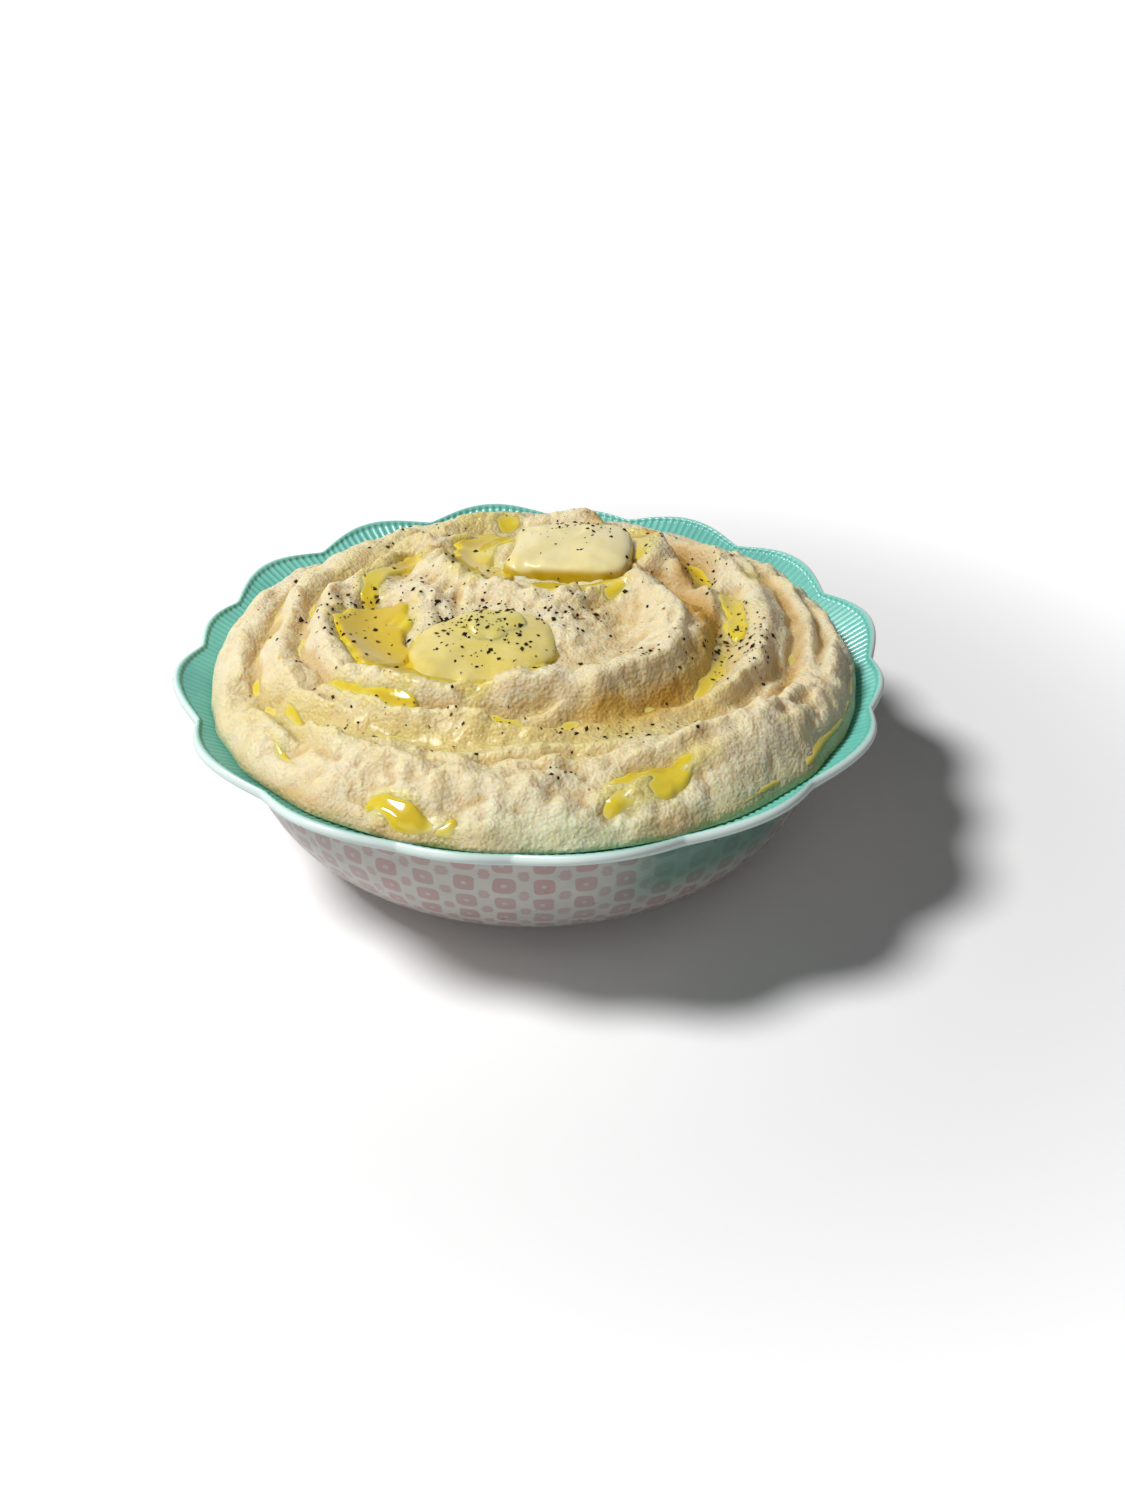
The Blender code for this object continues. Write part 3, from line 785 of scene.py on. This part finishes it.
class MASH_PG_colors(bpy.types.PropertyGroup):
    """Colours of the bowl and the food."""

    glaze: color("Glaze", "Turquoise glaze inside the bowl", (0.22, 0.64, 0.54))
    glaze_deep: color("Deep glaze", "Glaze between the ribs", (0.06, 0.36, 0.31))
    lip: color("Lip", "Thin glaze over the lip", (0.70, 0.82, 0.78))
    wall: color("Wall", "Ground of the outer wall", (0.60, 0.58, 0.53))
    wall_cool: color("Cool wall", "Cooler blotches of the outer wall", (0.46, 0.48, 0.45))
    pink: color("Print", "Strong print on the outer wall", (0.44, 0.15, 0.15))
    pink_pale: color("Faded print", "Faded print on the outer wall", (0.40, 0.26, 0.26))
    wash: color("Wash", "Turquoise wash on the outer wall", (0.05, 0.22, 0.17))
    mash: color("Mash", "Creamed potato", (0.79, 0.70, 0.48))
    mash_warm: color("Warm mash", "Warmer blotches of the potato", (0.73, 0.58, 0.30))
    amber: color("Amber", "Potato in amber shade", (0.50, 0.255, 0.02))
    mint: color("Mint", "Potato in the glaze's light", (0.50, 0.70, 0.50))
    # colour of the painted shade in furrows and hollows
    furrow_shade: color("Furrow", "Potato down in the furrows", (0.56, 0.33, 0.06))
    stained: color("Stained mash", "Potato soaked with butter", (0.72, 0.60, 0.20))
    pat: color("Back pat", "Softened butter", (0.80, 0.69, 0.32))
    pat_front: color("Front pat", "Butter half melted", (0.70, 0.57, 0.13))
    # colour of the painted shade low on a pat's side
    pat_side_shade: color("Pat side", "Thick wet butter at a pat's side", (0.56, 0.38, 0.002))
    film: color("Film", "Thin melted butter", (0.72, 0.60, 0.14))
    melted: color("Melted butter", "Deeper melted butter", (0.71, 0.55, 0.012))
    melted_deep: color("Deep melted butter", "Deepest melted butter", (0.62, 0.43, 0.004))
    pepper: color("Pepper", "Cracked black pepper", (0.034, 0.021, 0.009))
    husk: color("Husk", "Brown pepper husk", (0.20, 0.10, 0.035))
    spice: color("Spice", "Orange-brown specks", (0.55, 0.22, 0.05))


class MASH_PG_sizes(bpy.types.PropertyGroup):
    """Sizes a maker would change."""

    rib_depth: FloatProperty(
        name="Rib depth", description="Depth between the ribs of the flare", default=0.00075, unit="LENGTH"
    )
    bead: FloatProperty(
        name="Bead", description="Radius of the bead round the lip", default=0.0017, unit="LENGTH"
    )
    print_columns: IntProperty(
        name="Print columns", description="Squares of the print round the wall", default=52
    )
    print_pitch: FloatProperty(
        name="Print pitch", description="Height of one row of the print", default=0.0086, unit="LENGTH"
    )
    flake: FloatProperty(
        name="Flake", description="Half length of a large flake of pepper", default=0.00122, unit="LENGTH"
    )
    mash_cells: IntProperty(name="Mash cells", description="Cells across the heap's surface", default=288)


# Pieces


def lip_curve(bead):
    """The bead round the lip, from the flare's face over the edge to its underside."""
    lean = math.atan(FLARE_SLOPE)
    middle = np.array((RIM - bead, flare_height(RIM - bead) - BEAD_DROP))
    turns = np.radians(np.linspace(130, -100, 15)) + lean
    return middle + bead * np.stack([np.cos(turns), np.sin(turns)], axis=1)


def make_bowl(sizes):
    """The bowl's skin: its section turned round the axis, the flare drawn along its cone to the
    scalloped edge, and the ribs carved square to the flare as a cosine of the angle."""
    inner = inner_curve(WALL, 10)
    lip = lip_curve(sizes.bead)
    radii = np.linspace(inner[-1, 0] + BEND_GAP, lip[0, 0] - BEAD_GAP, 16)
    flare = np.stack([radii, flare_height(radii)], axis=1)
    under = np.linspace(lip[-1, 0] - BEND_GAP, WALL_TOP_RADIUS + BEND_GAP, 9)
    drop = (WALL_TOP - lip[-1, 1]) / (WALL_TOP_RADIUS - lip[-1, 0])
    below = np.stack([under, lip[-1, 1] + drop * (under - lip[-1, 0])], axis=1)
    outer = wall_curve(20)[::-1]
    bend = np.radians(np.linspace(0, 90, 5))
    ring = FOOT_RADIUS - FOOT_ROUND
    round_over = (ring + FOOT_ROUND * np.cos(bend), FOOT_ROUND - FOOT_ROUND * np.sin(bend))
    foot_out = np.stack(round_over, axis=1)
    foot_in = foot_out[::-1] * (-1, 1) + (2 * ring - FOOT_WIDTH + 2 * FOOT_ROUND, 0)
    inner_foot = FOOT_RADIUS - FOOT_WIDTH - FOOT_FILLET
    recess = np.array([(inner_foot, FOOT_RECESS), (0.02, FOOT_RECESS), (0.0, FOOT_RECESS)])
    foot = np.concatenate([foot_out, foot_in]) + (0, BOWL_LOW[2])
    section = np.concatenate([inner, flare, lip, below, outer, foot, recess + (0, BOWL_LOW[2])])
    parts = [len(piece) for piece in (inner, flare, lip, below, outer, foot, recess)]
    zone = np.repeat(np.arange(len(parts)), parts)

    angle = np.linspace(0, 360, RIBS * 5, endpoint=False)
    radius, height = (np.repeat(column[:, None], len(angle), axis=1) for column in section.T)
    reach = (edge_radius(angle) - WALL_TOP_RADIUS) / (RIM - WALL_TOP_RADIUS)
    drawn = WALL_TOP_RADIUS + (radius - WALL_TOP_RADIUS) * reach
    on_flare = ((zone >= 1) & (zone <= 3))[:, None] & (radius > WALL_TOP_RADIUS)
    drawn = np.where(on_flare, drawn, radius)
    height = height + FLARE_SLOPE * (drawn - radius)
    share = (np.arange(len(flare)) + 0.5) / len(flare)
    band = np.zeros(len(section))
    band[zone == 1] = ease(share / 0.15)
    band[zone == 2] = ease(1 - np.arange(len(lip)) / 4.0)
    rib = band[:, None] * (0.5 - 0.5 * np.cos(np.radians(angle) * RIBS)) ** 0.7
    carve = sizes.rib_depth * rib / math.hypot(1, FLARE_SLOPE)
    drawn, height = drawn + FLARE_SLOPE * carve, height - carve
    turn = np.radians(angle)
    rows = np.stack([drawn * np.cos(turn), drawn * np.sin(turn), height], axis=-1)
    points, quads, ends = closed_rows(rows)
    mesh = make_mesh("bowl_glazed", points, quads, ends)

    def per_point(values):
        values = np.broadcast_to(values, rows.shape[:2])
        return np.concatenate([values[0, :1], values[1:-1].ravel(), values[-1, :1]])

    along = np.concatenate([[0], np.cumsum(np.hypot(*np.diff(section, axis=0).T))])
    start = along[np.argmax(zone == 3)]
    over = ease((np.arange(len(section)) - np.argmax(zone == 2) - LIP_START) / 3.0)
    over = over * ease((start + LIP_END - along) / LIP_FADE)
    paint(mesh, "rib", per_point(rib))
    paint(mesh, "lip", per_point(over[:, None]))
    paint(mesh, "outside", per_point((zone >= 3).astype(float)[:, None]))
    print_band = ease((along - start - PRINT_START) / PRINT_FADE) * (zone <= 4)
    paint(mesh, "printed", per_point(print_band[:, None]))
    # a teal patch on the outer wall, round its angle, from under the lip downwards
    wide = np.exp(-(((angle - TEAL_PATCH_ANGLE + 180) % 360 - 180) / TEAL_PATCH_WIDTH) ** 2)
    low = ease((along - start) / TEAL_PATCH_RISE) * ease((start + TEAL_PATCH_END - along) / TEAL_PATCH_FADE)
    paint(mesh, "wash", per_point(ease(1.5 * wide)[None, :] * (low * (zone >= 3))[:, None]))
    u = per_point(np.broadcast_to(angle / 360 * sizes.print_columns, rows.shape[:2]))
    v = per_point(np.broadcast_to(((along - start) / sizes.print_pitch)[:, None], rows.shape[:2]))
    corners = np.empty(len(mesh.loops), np.int32)
    mesh.loops.foreach_get("vertex_index", corners)
    flat = np.stack([u[corners], v[corners]], axis=1)
    # the faces that close the turn run on past its last column instead of back to the first
    first = np.repeat(np.arange(len(quads)), 4)
    seam = np.zeros(len(corners), bool)
    seam[: len(first)] = (np.ptp(flat[: len(first), 0].reshape(-1, 4), axis=1) > 1)[first]
    flat[:, 0] += np.where(seam & (flat[:, 0] < 1), sizes.print_columns, 0)
    layer = mesh.uv_layers.new(name="wall")
    layer.data.foreach_set("uv", np.ascontiguousarray(flat, np.float32).ravel())
    return mesh


def disc_grid(cells):
    """An even grid on the unit disc: square rings of cells pushed out to round ones. Returns the
    distance and the angle of each point, and the loop of points round the edge."""
    side = np.linspace(-1, 1, cells + 1)
    a, b = np.meshgrid(side, side, indexing="ij")
    far = np.maximum(np.abs(a), np.abs(b))
    with np.errstate(divide="ignore", invalid="ignore"):
        wide = np.where(a > 0, 0, 180) + 45 * b / a
        tall = np.where(b > 0, 90, 270) - 45 * a / b
    angle = np.where(np.abs(a) >= np.abs(b), wide, tall)
    angle = np.where(far == 0, 0, angle)
    index = np.arange((cells + 1) ** 2).reshape(cells + 1, cells + 1)
    loop = np.concatenate([index[:-1, 0], index[-1, :-1], index[:0:-1, -1], index[0, :0:-1]])
    quads = np.stack([index[:-1, :-1], index[1:, :-1], index[1:, 1:], index[:-1, 1:]], axis=-1)
    return far.ravel(), angle.ravel(), loop, quads.reshape(-1, 4)


def pool_cover(x, y, pool, spread=1.0):
    """How far a run of melted butter covers each point: one inside its arc, easing to zero at
    an uneven edge."""
    cx, cy, first, last, start, end, half = pool[:7]
    across, up = x / RIM - cx, y / RIM - cy
    sweep = end - start
    angle = (np.degrees(np.arctan2(up, across)) - start - sweep / 2 + 180) % 360 - 180
    past = np.maximum(np.abs(angle) - sweep / 2 + 9, 0) / 9
    share = np.clip(angle / sweep + 0.5, 0, 1)
    off = (np.hypot(across, up) - first - (last - first) * share) / (half * spread)
    uneven = 0.28 * noise(x, y, 0.010, 41) + 0.16 * noise(x, y, 0.0042, 42)
    return ease((1.1 - np.hypot(off, past) + uneven) / 0.55)


def stain(x, y):
    """How much melted butter has soaked in, from 0 to 1."""
    soaked = [min(1, 0.45 + 0.5 * pool[7]) * pool_cover(x, y, pool, 1.08) for pool in POOLS]
    return np.max([*soaked, arcs(x, y, SOAKED)], axis=0)


def arcs(x, y, strokes):
    """The strongest of some painted strokes at each point, broken up by noise."""
    u = x / RIM + 0.010 * noise(x, y, 0.009, 43)
    v = y / RIM + 0.010 * noise(x, y, 0.009, 44)
    strength = np.max([stroke_height(u, v, stroke) for stroke in strokes], axis=0)
    return np.clip(strength * (1 + 0.25 * noise(x, y, 0.004, 45)), 0, 1)


def make_mash(sizes):
    """The heap's skin: its height worked out over an even grid on the disc, and an underside that
    follows the bowl's inside a hair's breadth away."""
    far, angle, loop, quads = disc_grid(sizes.mash_cells)
    radius, turn = far * mash_edge(angle), np.radians(angle)
    x, y = radius * np.cos(turn), radius * np.sin(turn)
    z, furrows = mash_height(x, y)
    top = np.stack([x, y, z], axis=1)
    under = inner_curve(WALL + GAP, 6)[::-1]
    ring = np.stack([np.cos(turn[loop]), np.sin(turn[loop])], axis=1)
    rings = [np.column_stack([r * ring, np.full(len(loop), h)]) for r, h in under[:-1]]
    points = np.concatenate([top, *rings, [(0, 0, under[-1, 1])]])
    lower = len(top) + np.arange(len(loop) * len(rings)).reshape(-1, len(loop))
    index = np.concatenate([[loop], lower])
    after = np.roll(index, -1, axis=1)
    sides = np.stack([index[1:], after[1:], after[:-1], index[:-1]], axis=-1).reshape(-1, 4)
    floor = np.stack([after[-1], index[-1], 0 * loop + len(points) - 1], axis=-1)
    mesh = make_mesh("mash_swirled", points, np.concatenate([quads, sides]), floor)
    hidden = np.zeros(len(points) - len(top))
    side = sizes.mash_cells + 1
    cell = 2 * MASH_EDGE / sizes.mash_cells
    # Painted shade: gold in the hollows found by blurring the heap, and down the deep furrows
    hollow_shade = (blurred(z.reshape(side, side), HOLLOW_BLUR / cell).ravel() - z) / HOLLOW_DEEP
    hollow_shade = 0.75 * ease(hollow_shade) * ease((0.975 - far) / 0.03)
    painted_shade = np.maximum(ease(furrows / FURROW_DEEP) * 0.5, hollow_shade)
    paint(mesh, "furrow_shade", np.concatenate([painted_shade, hidden]))
    # painted amber shade, from its strokes
    paint(mesh, "glow", np.concatenate([arcs(x, y, AMBER_SHADE_STROKES), hidden]))
    paint(mesh, "bounce", np.concatenate([arcs(x, y, BOUNCES), hidden]))
    paint(mesh, "butter", np.concatenate([stain(x, y), hidden]))
    return mesh


def pat_rows(pat, corner, sag, seed):
    """A slab of soft butter as rows of rings: a rounded box whose plan and section are
    superellipses, its foot spread, its top dished and its skin uneven."""
    centre, size, lean = pat
    lift = np.radians(np.linspace(90, -90, 49))[:, None]
    turn = np.radians(np.linspace(0, 360, 144, endpoint=False))[None, :]

    def power(value, exponent):
        return np.sign(value) * np.abs(value) ** exponent

    out = power(np.cos(lift), 0.30)
    x = out * power(np.cos(turn), corner)
    y = out * power(np.sin(turn), corner)
    z = power(np.sin(lift), 0.50) + 0 * turn
    spread = 1 + 0.07 * (1 - z) / 2
    x, y = x * spread * size[0] / 2, y * spread * size[1] / 2
    uneven = 1 + 0.09 * noise(x, y, 0.011, seed) + 0.03 * noise(x + z * 0.01, y, 0.004, seed + 1)
    x, y = x * uneven, y * uneven
    bumps = PAT_LUMP * noise(x, y, 0.009, seed + 2) + PAT_GRAIN * noise(x, y, 0.0038, seed + 3)
    edge = np.hypot(2 * x / size[0], 2 * y / size[1])
    z = z * size[2] / 2 + (z > 0) * (bumps - sag * ease(edge - 0.3))
    place = Matrix.Translation(Vector(centre))
    for degrees, axis in zip(lean[::-1], "ZYX"):
        place = place @ Matrix.Rotation(math.radians(degrees), 4, axis)
    place = np.array(place)
    rows = np.stack([x, y, z], axis=-1) @ place[:3, :3].T + place[:3, 3]
    rows[0], rows[-1] = rows[0].mean(0), rows[-1].mean(0)
    # Painted shade: strongest low on the sides and on the front side
    low = ease((0.55 - np.broadcast_to(np.sin(lift), x.shape)) / 0.5)
    return rows, low * (0.4 + 0.6 * ease(0.5 - np.sin(turn)))


def make_pat(name, pats):
    """One piece of butter from its slabs, with painted shade low on its sides."""
    points, quads, ends, side, count = [], [], [], [], 0
    for number, (pat, corner, sag) in enumerate(pats):
        rows, shade = pat_rows(pat, corner, sag, 31 + 5 * number)
        more, faces, tips = closed_rows(rows)
        points.append(more)
        quads.append(faces + count)
        ends.append(tips + count)
        side.append(np.concatenate([shade[0, :1], shade[1:-1].ravel(), shade[-1, :1]]))
        count += len(more)
    points, quads, ends = (np.concatenate(part) for part in (points, quads, ends))
    mesh = make_mesh(name, points, quads, ends)
    paint(mesh, "side", np.concatenate(side))
    return mesh


def blurred(field, reach):
    """The field blurred by a bell curve, its width given in cells, along both ways of the grid."""
    steps = np.arange(len(field))
    bell = np.exp(-(((steps[:, None] - steps[None, :]) / reach) ** 2) / 2)
    bell /= bell.sum(axis=1, keepdims=True)
    return bell @ field @ bell.T


def make_pools(sizes):
    """All the melted butter as one closed skin over the heap's own grid. Its face is the heap
    with its fine relief blurred away, wide for ponds and narrow for runs, and sinks where no
    butter lies; only cells where it comes near or above the potato are kept."""
    far, angle, _, quads = disc_grid(sizes.mash_cells)
    side = sizes.mash_cells + 1
    radius, turn = far * mash_edge(angle), np.radians(angle)
    x, y = radius * np.cos(turn), radius * np.sin(turn)
    z, _ = mash_height(x, y)
    cell = 2 * MASH_EDGE / sizes.mash_cells
    run = blurred(z.reshape(side, side), RUN_BLUR / cell).ravel()
    pond = blurred(z.reshape(side, side), POND_BLUR / cell).ravel()
    face = z - POOL_SINK
    for pool in POOLS:
        lift, share = pool[7] / 1000, pool[8]
        cover = pool_cover(x, y, pool)
        level = run + (pond - run) * share
        face = np.maximum(face, level + lift * cover - 2 * POOL_SINK * (1 - cover))
    face = np.minimum(face, TOP - POOL_GAP)
    wet = (face > z - POOL_NEAR) & (far < 0.985)
    kept = quads[wet[quads].any(axis=1)]
    used, place = np.unique(kept, return_inverse=True)
    kept = place.reshape(-1, 4)
    count = len(used)
    upper = np.stack([x[used], y[used], face[used]], axis=1)
    lower = upper.copy()
    lower[:, 2] = np.minimum(face[used], z[used]) - POOL_SKIN
    edges = np.stack([kept, np.roll(kept, -1, axis=1)], axis=-1).reshape(-1, 2)
    both = np.sort(edges, axis=1)
    _, first, number = np.unique(both[:, 0] * count + both[:, 1], return_index=True, return_counts=True)
    rim = edges[first[number == 1]]
    walls = np.stack([rim[:, 0], rim[:, 0] + count, rim[:, 1] + count, rim[:, 1]], axis=1)
    points = np.concatenate([upper, lower])
    mesh = make_mesh("melted_butter", points, np.concatenate([kept, kept[:, ::-1] + count, walls]))
    depth = np.clip((face - z)[used] / POOL_DEEP, 0, 1)
    paint(mesh, "depth", np.concatenate([depth, 0 * depth]))
    return mesh


def surface_tree():
    """Every food surface so far, for laying flakes on."""
    points, faces = [], []
    for name in ("mash_swirled", "butter_pat_front", "butter_pat_back", "melted_butter"):
        mesh = bpy.data.objects[name].data
        count = len(points)
        points += [tuple(vertex.co) for vertex in mesh.vertices]
        faces += [tuple(count + corner for corner in face.vertices) for face in mesh.polygons]
    return BVHTree.FromPolygons(points, faces)


def make_flakes(name, tree, spots, size, seed):
    """Cracked flakes as one mesh: each a squashed eight-sided chip with uneven corners, lying
    flat on the surface under its spot."""
    rng = np.random.default_rng(seed)
    chip = np.array([(1, 0, 0), (0, 1, 0), (-1, 0, 0), (0, -1, 0), (0, 0, 1), (0, 0, -1)], float)
    sides = [(0, 1, 4), (1, 2, 4), (2, 3, 4), (3, 0, 4), (1, 0, 5), (2, 1, 5), (3, 2, 5), (0, 3, 5)]
    points, faces = [], []
    for cx, cy, across, along, count in spots:
        for _ in range(count):
            x, y = RIM * (cx + across * rng.normal()), RIM * (cy + along * rng.normal())
            scale = size * rng.choice(FLAKE_SIZES, p=FLAKE_SHARES) * rng.uniform(0.8, 1.2)
            shape = chip * (1, rng.uniform(0.5, 0.9), rng.uniform(0.3, 0.5))
            shape = shape + rng.uniform(-0.22, 0.22, (6, 3))
            spin = rng.uniform(0, 2 * math.pi)
            if math.hypot(x, y) > PEPPER_REACH:
                continue
            hit, normal, _, _ = tree.ray_cast(Vector((x, y, 1.0)), Vector((0, 0, -1)))
            lie = normal.to_track_quat("Z", "Y").to_matrix() @ Matrix.Rotation(spin, 3, "Z")
            faces += [tuple(len(points) + corner for corner in side) for side in sides]
            points += (scale * shape @ np.array(lie).T + np.array(hit + normal * 0.1 * scale)).tolist()
    return make_mesh(name, np.array(points), np.zeros((0, 4), int), np.array(faces), smooth=False)


# Operators


class MASH_OT_bowl(bpy.types.Operator):
    """Make the glazed bowl with its scalloped, ribbed flare"""

    bl_idname = "mash.bowl"
    bl_label = "Glazed bowl"

    def execute(self, context):
        mesh = make_bowl(context.scene.mash_sizes)
        glaze = bowl_material(context.scene.mash_colors)
        add_piece("bowl_glazed", mesh, glaze, ("bowl",))
        return {"FINISHED"}


class MASH_OT_mash(bpy.types.Operator):
    """Make the swirled heap of mashed potato"""

    bl_idname = "mash.mash"
    bl_label = "Mashed potato"

    def execute(self, context):
        mesh = make_mash(context.scene.mash_sizes)
        potato = mash_material(context.scene.mash_colors)
        add_piece("mash_swirled", mesh, potato, ("mash",))
        return {"FINISHED"}


class MASH_OT_butter(bpy.types.Operator):
    """Make the two softened pats of butter"""

    bl_idname = "mash.butter"
    bl_label = "Pats of butter"

    def execute(self, context):
        colors = context.scene.mash_colors
        front = make_pat("butter_pat_front", FRONT_BUTTER)
        skin = pat_material("front butter", colors.pat_front, colors.melted)
        add_piece("butter_pat_front", front, skin, ("butter_front",))
        back = make_pat("butter_pat_back", BACK_BUTTER)
        skin = pat_material("back butter", colors.pat, colors.pat_side_shade)
        add_piece("butter_pat_back", back, skin, ("butter_back",))
        return {"FINISHED"}


class MASH_OT_melted(bpy.types.Operator):
    """Make the pools and films of melted butter"""

    bl_idname = "mash.melted"
    bl_label = "Melted butter"

    def execute(self, context):
        mesh = make_pools(context.scene.mash_sizes)
        butter = melted_material(context.scene.mash_colors)
        add_piece("melted_butter", mesh, butter)
        return {"FINISHED"}


class MASH_OT_pepper(bpy.types.Operator):
    """Scatter cracked pepper, brown husks and orange specks"""

    bl_idname = "mash.pepper"
    bl_label = "Pepper"

    def execute(self, context):
        colors, size = context.scene.mash_colors, context.scene.mash_sizes.flake
        tree = surface_tree()
        dark = tuple(0.4 * c for c in colors.pepper)
        black = make_flakes("pepper_flakes", tree, PEPPER, size, 51)
        add_piece("pepper_flakes", black, speck_material("black pepper", colors.pepper, dark))
        fewer = tuple((*spot[:4], max(1, round(0.8 * spot[4]))) for spot in PEPPER)
        brown = make_flakes("pepper_husks", tree, fewer, 0.7 * size, 52)
        add_piece("pepper_husks", brown, speck_material("pepper husk", colors.husk, colors.pepper))
        orange = make_flakes("spice_specks", tree, SPICE, 0.6 * size, 53)
        add_piece("spice_specks", orange, speck_material("orange spice", colors.spice, colors.husk))
        return {"FINISHED"}


class MASH_OT_stage(bpy.types.Operator):
    """Make the floor, lights and camera"""

    bl_idname = "mash.stage"
    bl_label = "Stage"

    def execute(self, context):
        scene = context.scene
        corners = FLOOR_HALF * np.array([(-1, -1, 0), (1, -1, 0), (1, 1, 0), (-1, 1, 0)], float)
        mesh = make_mesh("floor", corners + (0, 0, BOWL_LOW[2]), np.array([[0, 1, 2, 3]]), smooth=False)
        floor = bpy.data.objects.new("floor", mesh)
        scene.collection.objects.link(floor)
        material, nodes, shader = new_material("white table")
        grain = nodes.step(nodes.noise(9.0, 2.0), 0.2, 0.8)
        seen = nodes.add("ShaderNodeLightPath").outputs["Is Camera Ray"]
        plain = nodes.mix(grain, (0.70, 0.70, 0.70), (0.71, 0.71, 0.71))
        far = nodes.add("ShaderNodeVectorMath", {"operation": "LENGTH"}, i0=nodes.place()).outputs["Value"]
        away = nodes.step(far, 0.16, 0.55)
        set_sockets(nodes, shader, {
            "Base Color": nodes.mix(seen, plain, (1.0, 1.0, 1.0)),
            "Roughness": 0.9,
            "Specular IOR Level": 0.0,
            "Emission Color": nodes.mix(nodes.math("MULTIPLY", seen, away), (0, 0, 0), (1.0, 1.0, 1.0)),
            "Emission Strength": 1.0,
        })
        mesh.materials.append(material)

        for name, place, size, power in LIGHTS:
            light = bpy.data.lights.new(name, "AREA")
            light.shape, light.size, light.energy = "DISK", size, power
            lamp = bpy.data.objects.new(name, light)
            lamp.location = place
            aim = Vector((0, 0, 0.05)) - Vector(place)
            lamp.rotation_euler = aim.to_track_quat("-Z", "Y").to_euler()
            scene.collection.objects.link(lamp)

        world = bpy.data.worlds.new("studio")
        scene.world = world
        world.use_nodes = True
        world.node_tree.nodes.clear()
        nodes = Nodes(world.node_tree)
        path = nodes.add("ShaderNodeLightPath").outputs
        direct = nodes.math("MAXIMUM", path["Is Camera Ray"], path["Is Transmission Ray"])
        direct = nodes.math("MAXIMUM", direct, path["Is Glossy Ray"])
        strength = nodes.math("MULTIPLY_ADD", direct, 0.925, 0.075)
        sky = nodes.add("ShaderNodeBackground", Color=(1.0, 1.0, 1.0), Strength=strength)
        nodes.add("ShaderNodeOutputWorld", Surface=sky.outputs[0])

        lens = bpy.data.cameras.new("camera")
        lens.sensor_width, lens.lens = 36.0, CAMERA_LENS
        camera = bpy.data.objects.new("camera", lens)
        along, back, above = CAMERA_PLACE
        camera.location = (along * RIM, back * RIM, RIM_HEIGHT + above * RIM)
        camera.rotation_euler = (math.radians(CAMERA_TILT), 0, 0)
        scene.collection.objects.link(camera)
        scene.camera = camera
        scene.view_settings.view_transform = "Standard"
        return {"FINISHED"}


class MASH_PT_panel(bpy.types.Panel):
    """Lists the pieces and their settings."""

    bl_label = "Mashed Potato Side"
    bl_idname = "MASH_PT_panel"
    bl_space_type = "VIEW_3D"
    bl_region_type = "UI"
    bl_category = "Mash"

    def draw(self, context):
        for operator in OPERATORS:
            self.layout.operator(operator.bl_idname)
        for settings in (context.scene.mash_sizes, context.scene.mash_colors):
            box = self.layout.box()
            for name in settings.__annotations__:
                box.prop(settings, name)


OPERATORS = (MASH_OT_bowl, MASH_OT_mash, MASH_OT_butter, MASH_OT_melted, MASH_OT_pepper, MASH_OT_stage)
SETTINGS = (MASH_PG_colors, MASH_PG_sizes)


def register():
    for made in (*SETTINGS, *OPERATORS, MASH_PT_panel):
        bpy.utils.register_class(made)
    bpy.types.Scene.mash_colors = PointerProperty(type=MASH_PG_colors)
    bpy.types.Scene.mash_sizes = PointerProperty(type=MASH_PG_sizes)


def unregister():
    del bpy.types.Scene.mash_colors, bpy.types.Scene.mash_sizes
    for made in reversed((*SETTINGS, *OPERATORS, MASH_PT_panel)):
        bpy.utils.unregister_class(made)


def main():
    register()
    for name in ("bowl", "mash", "butter", "melted", "pepper", "stage"):
        getattr(bpy.ops.mash, name)()


if __name__ == "__main__":
    main()
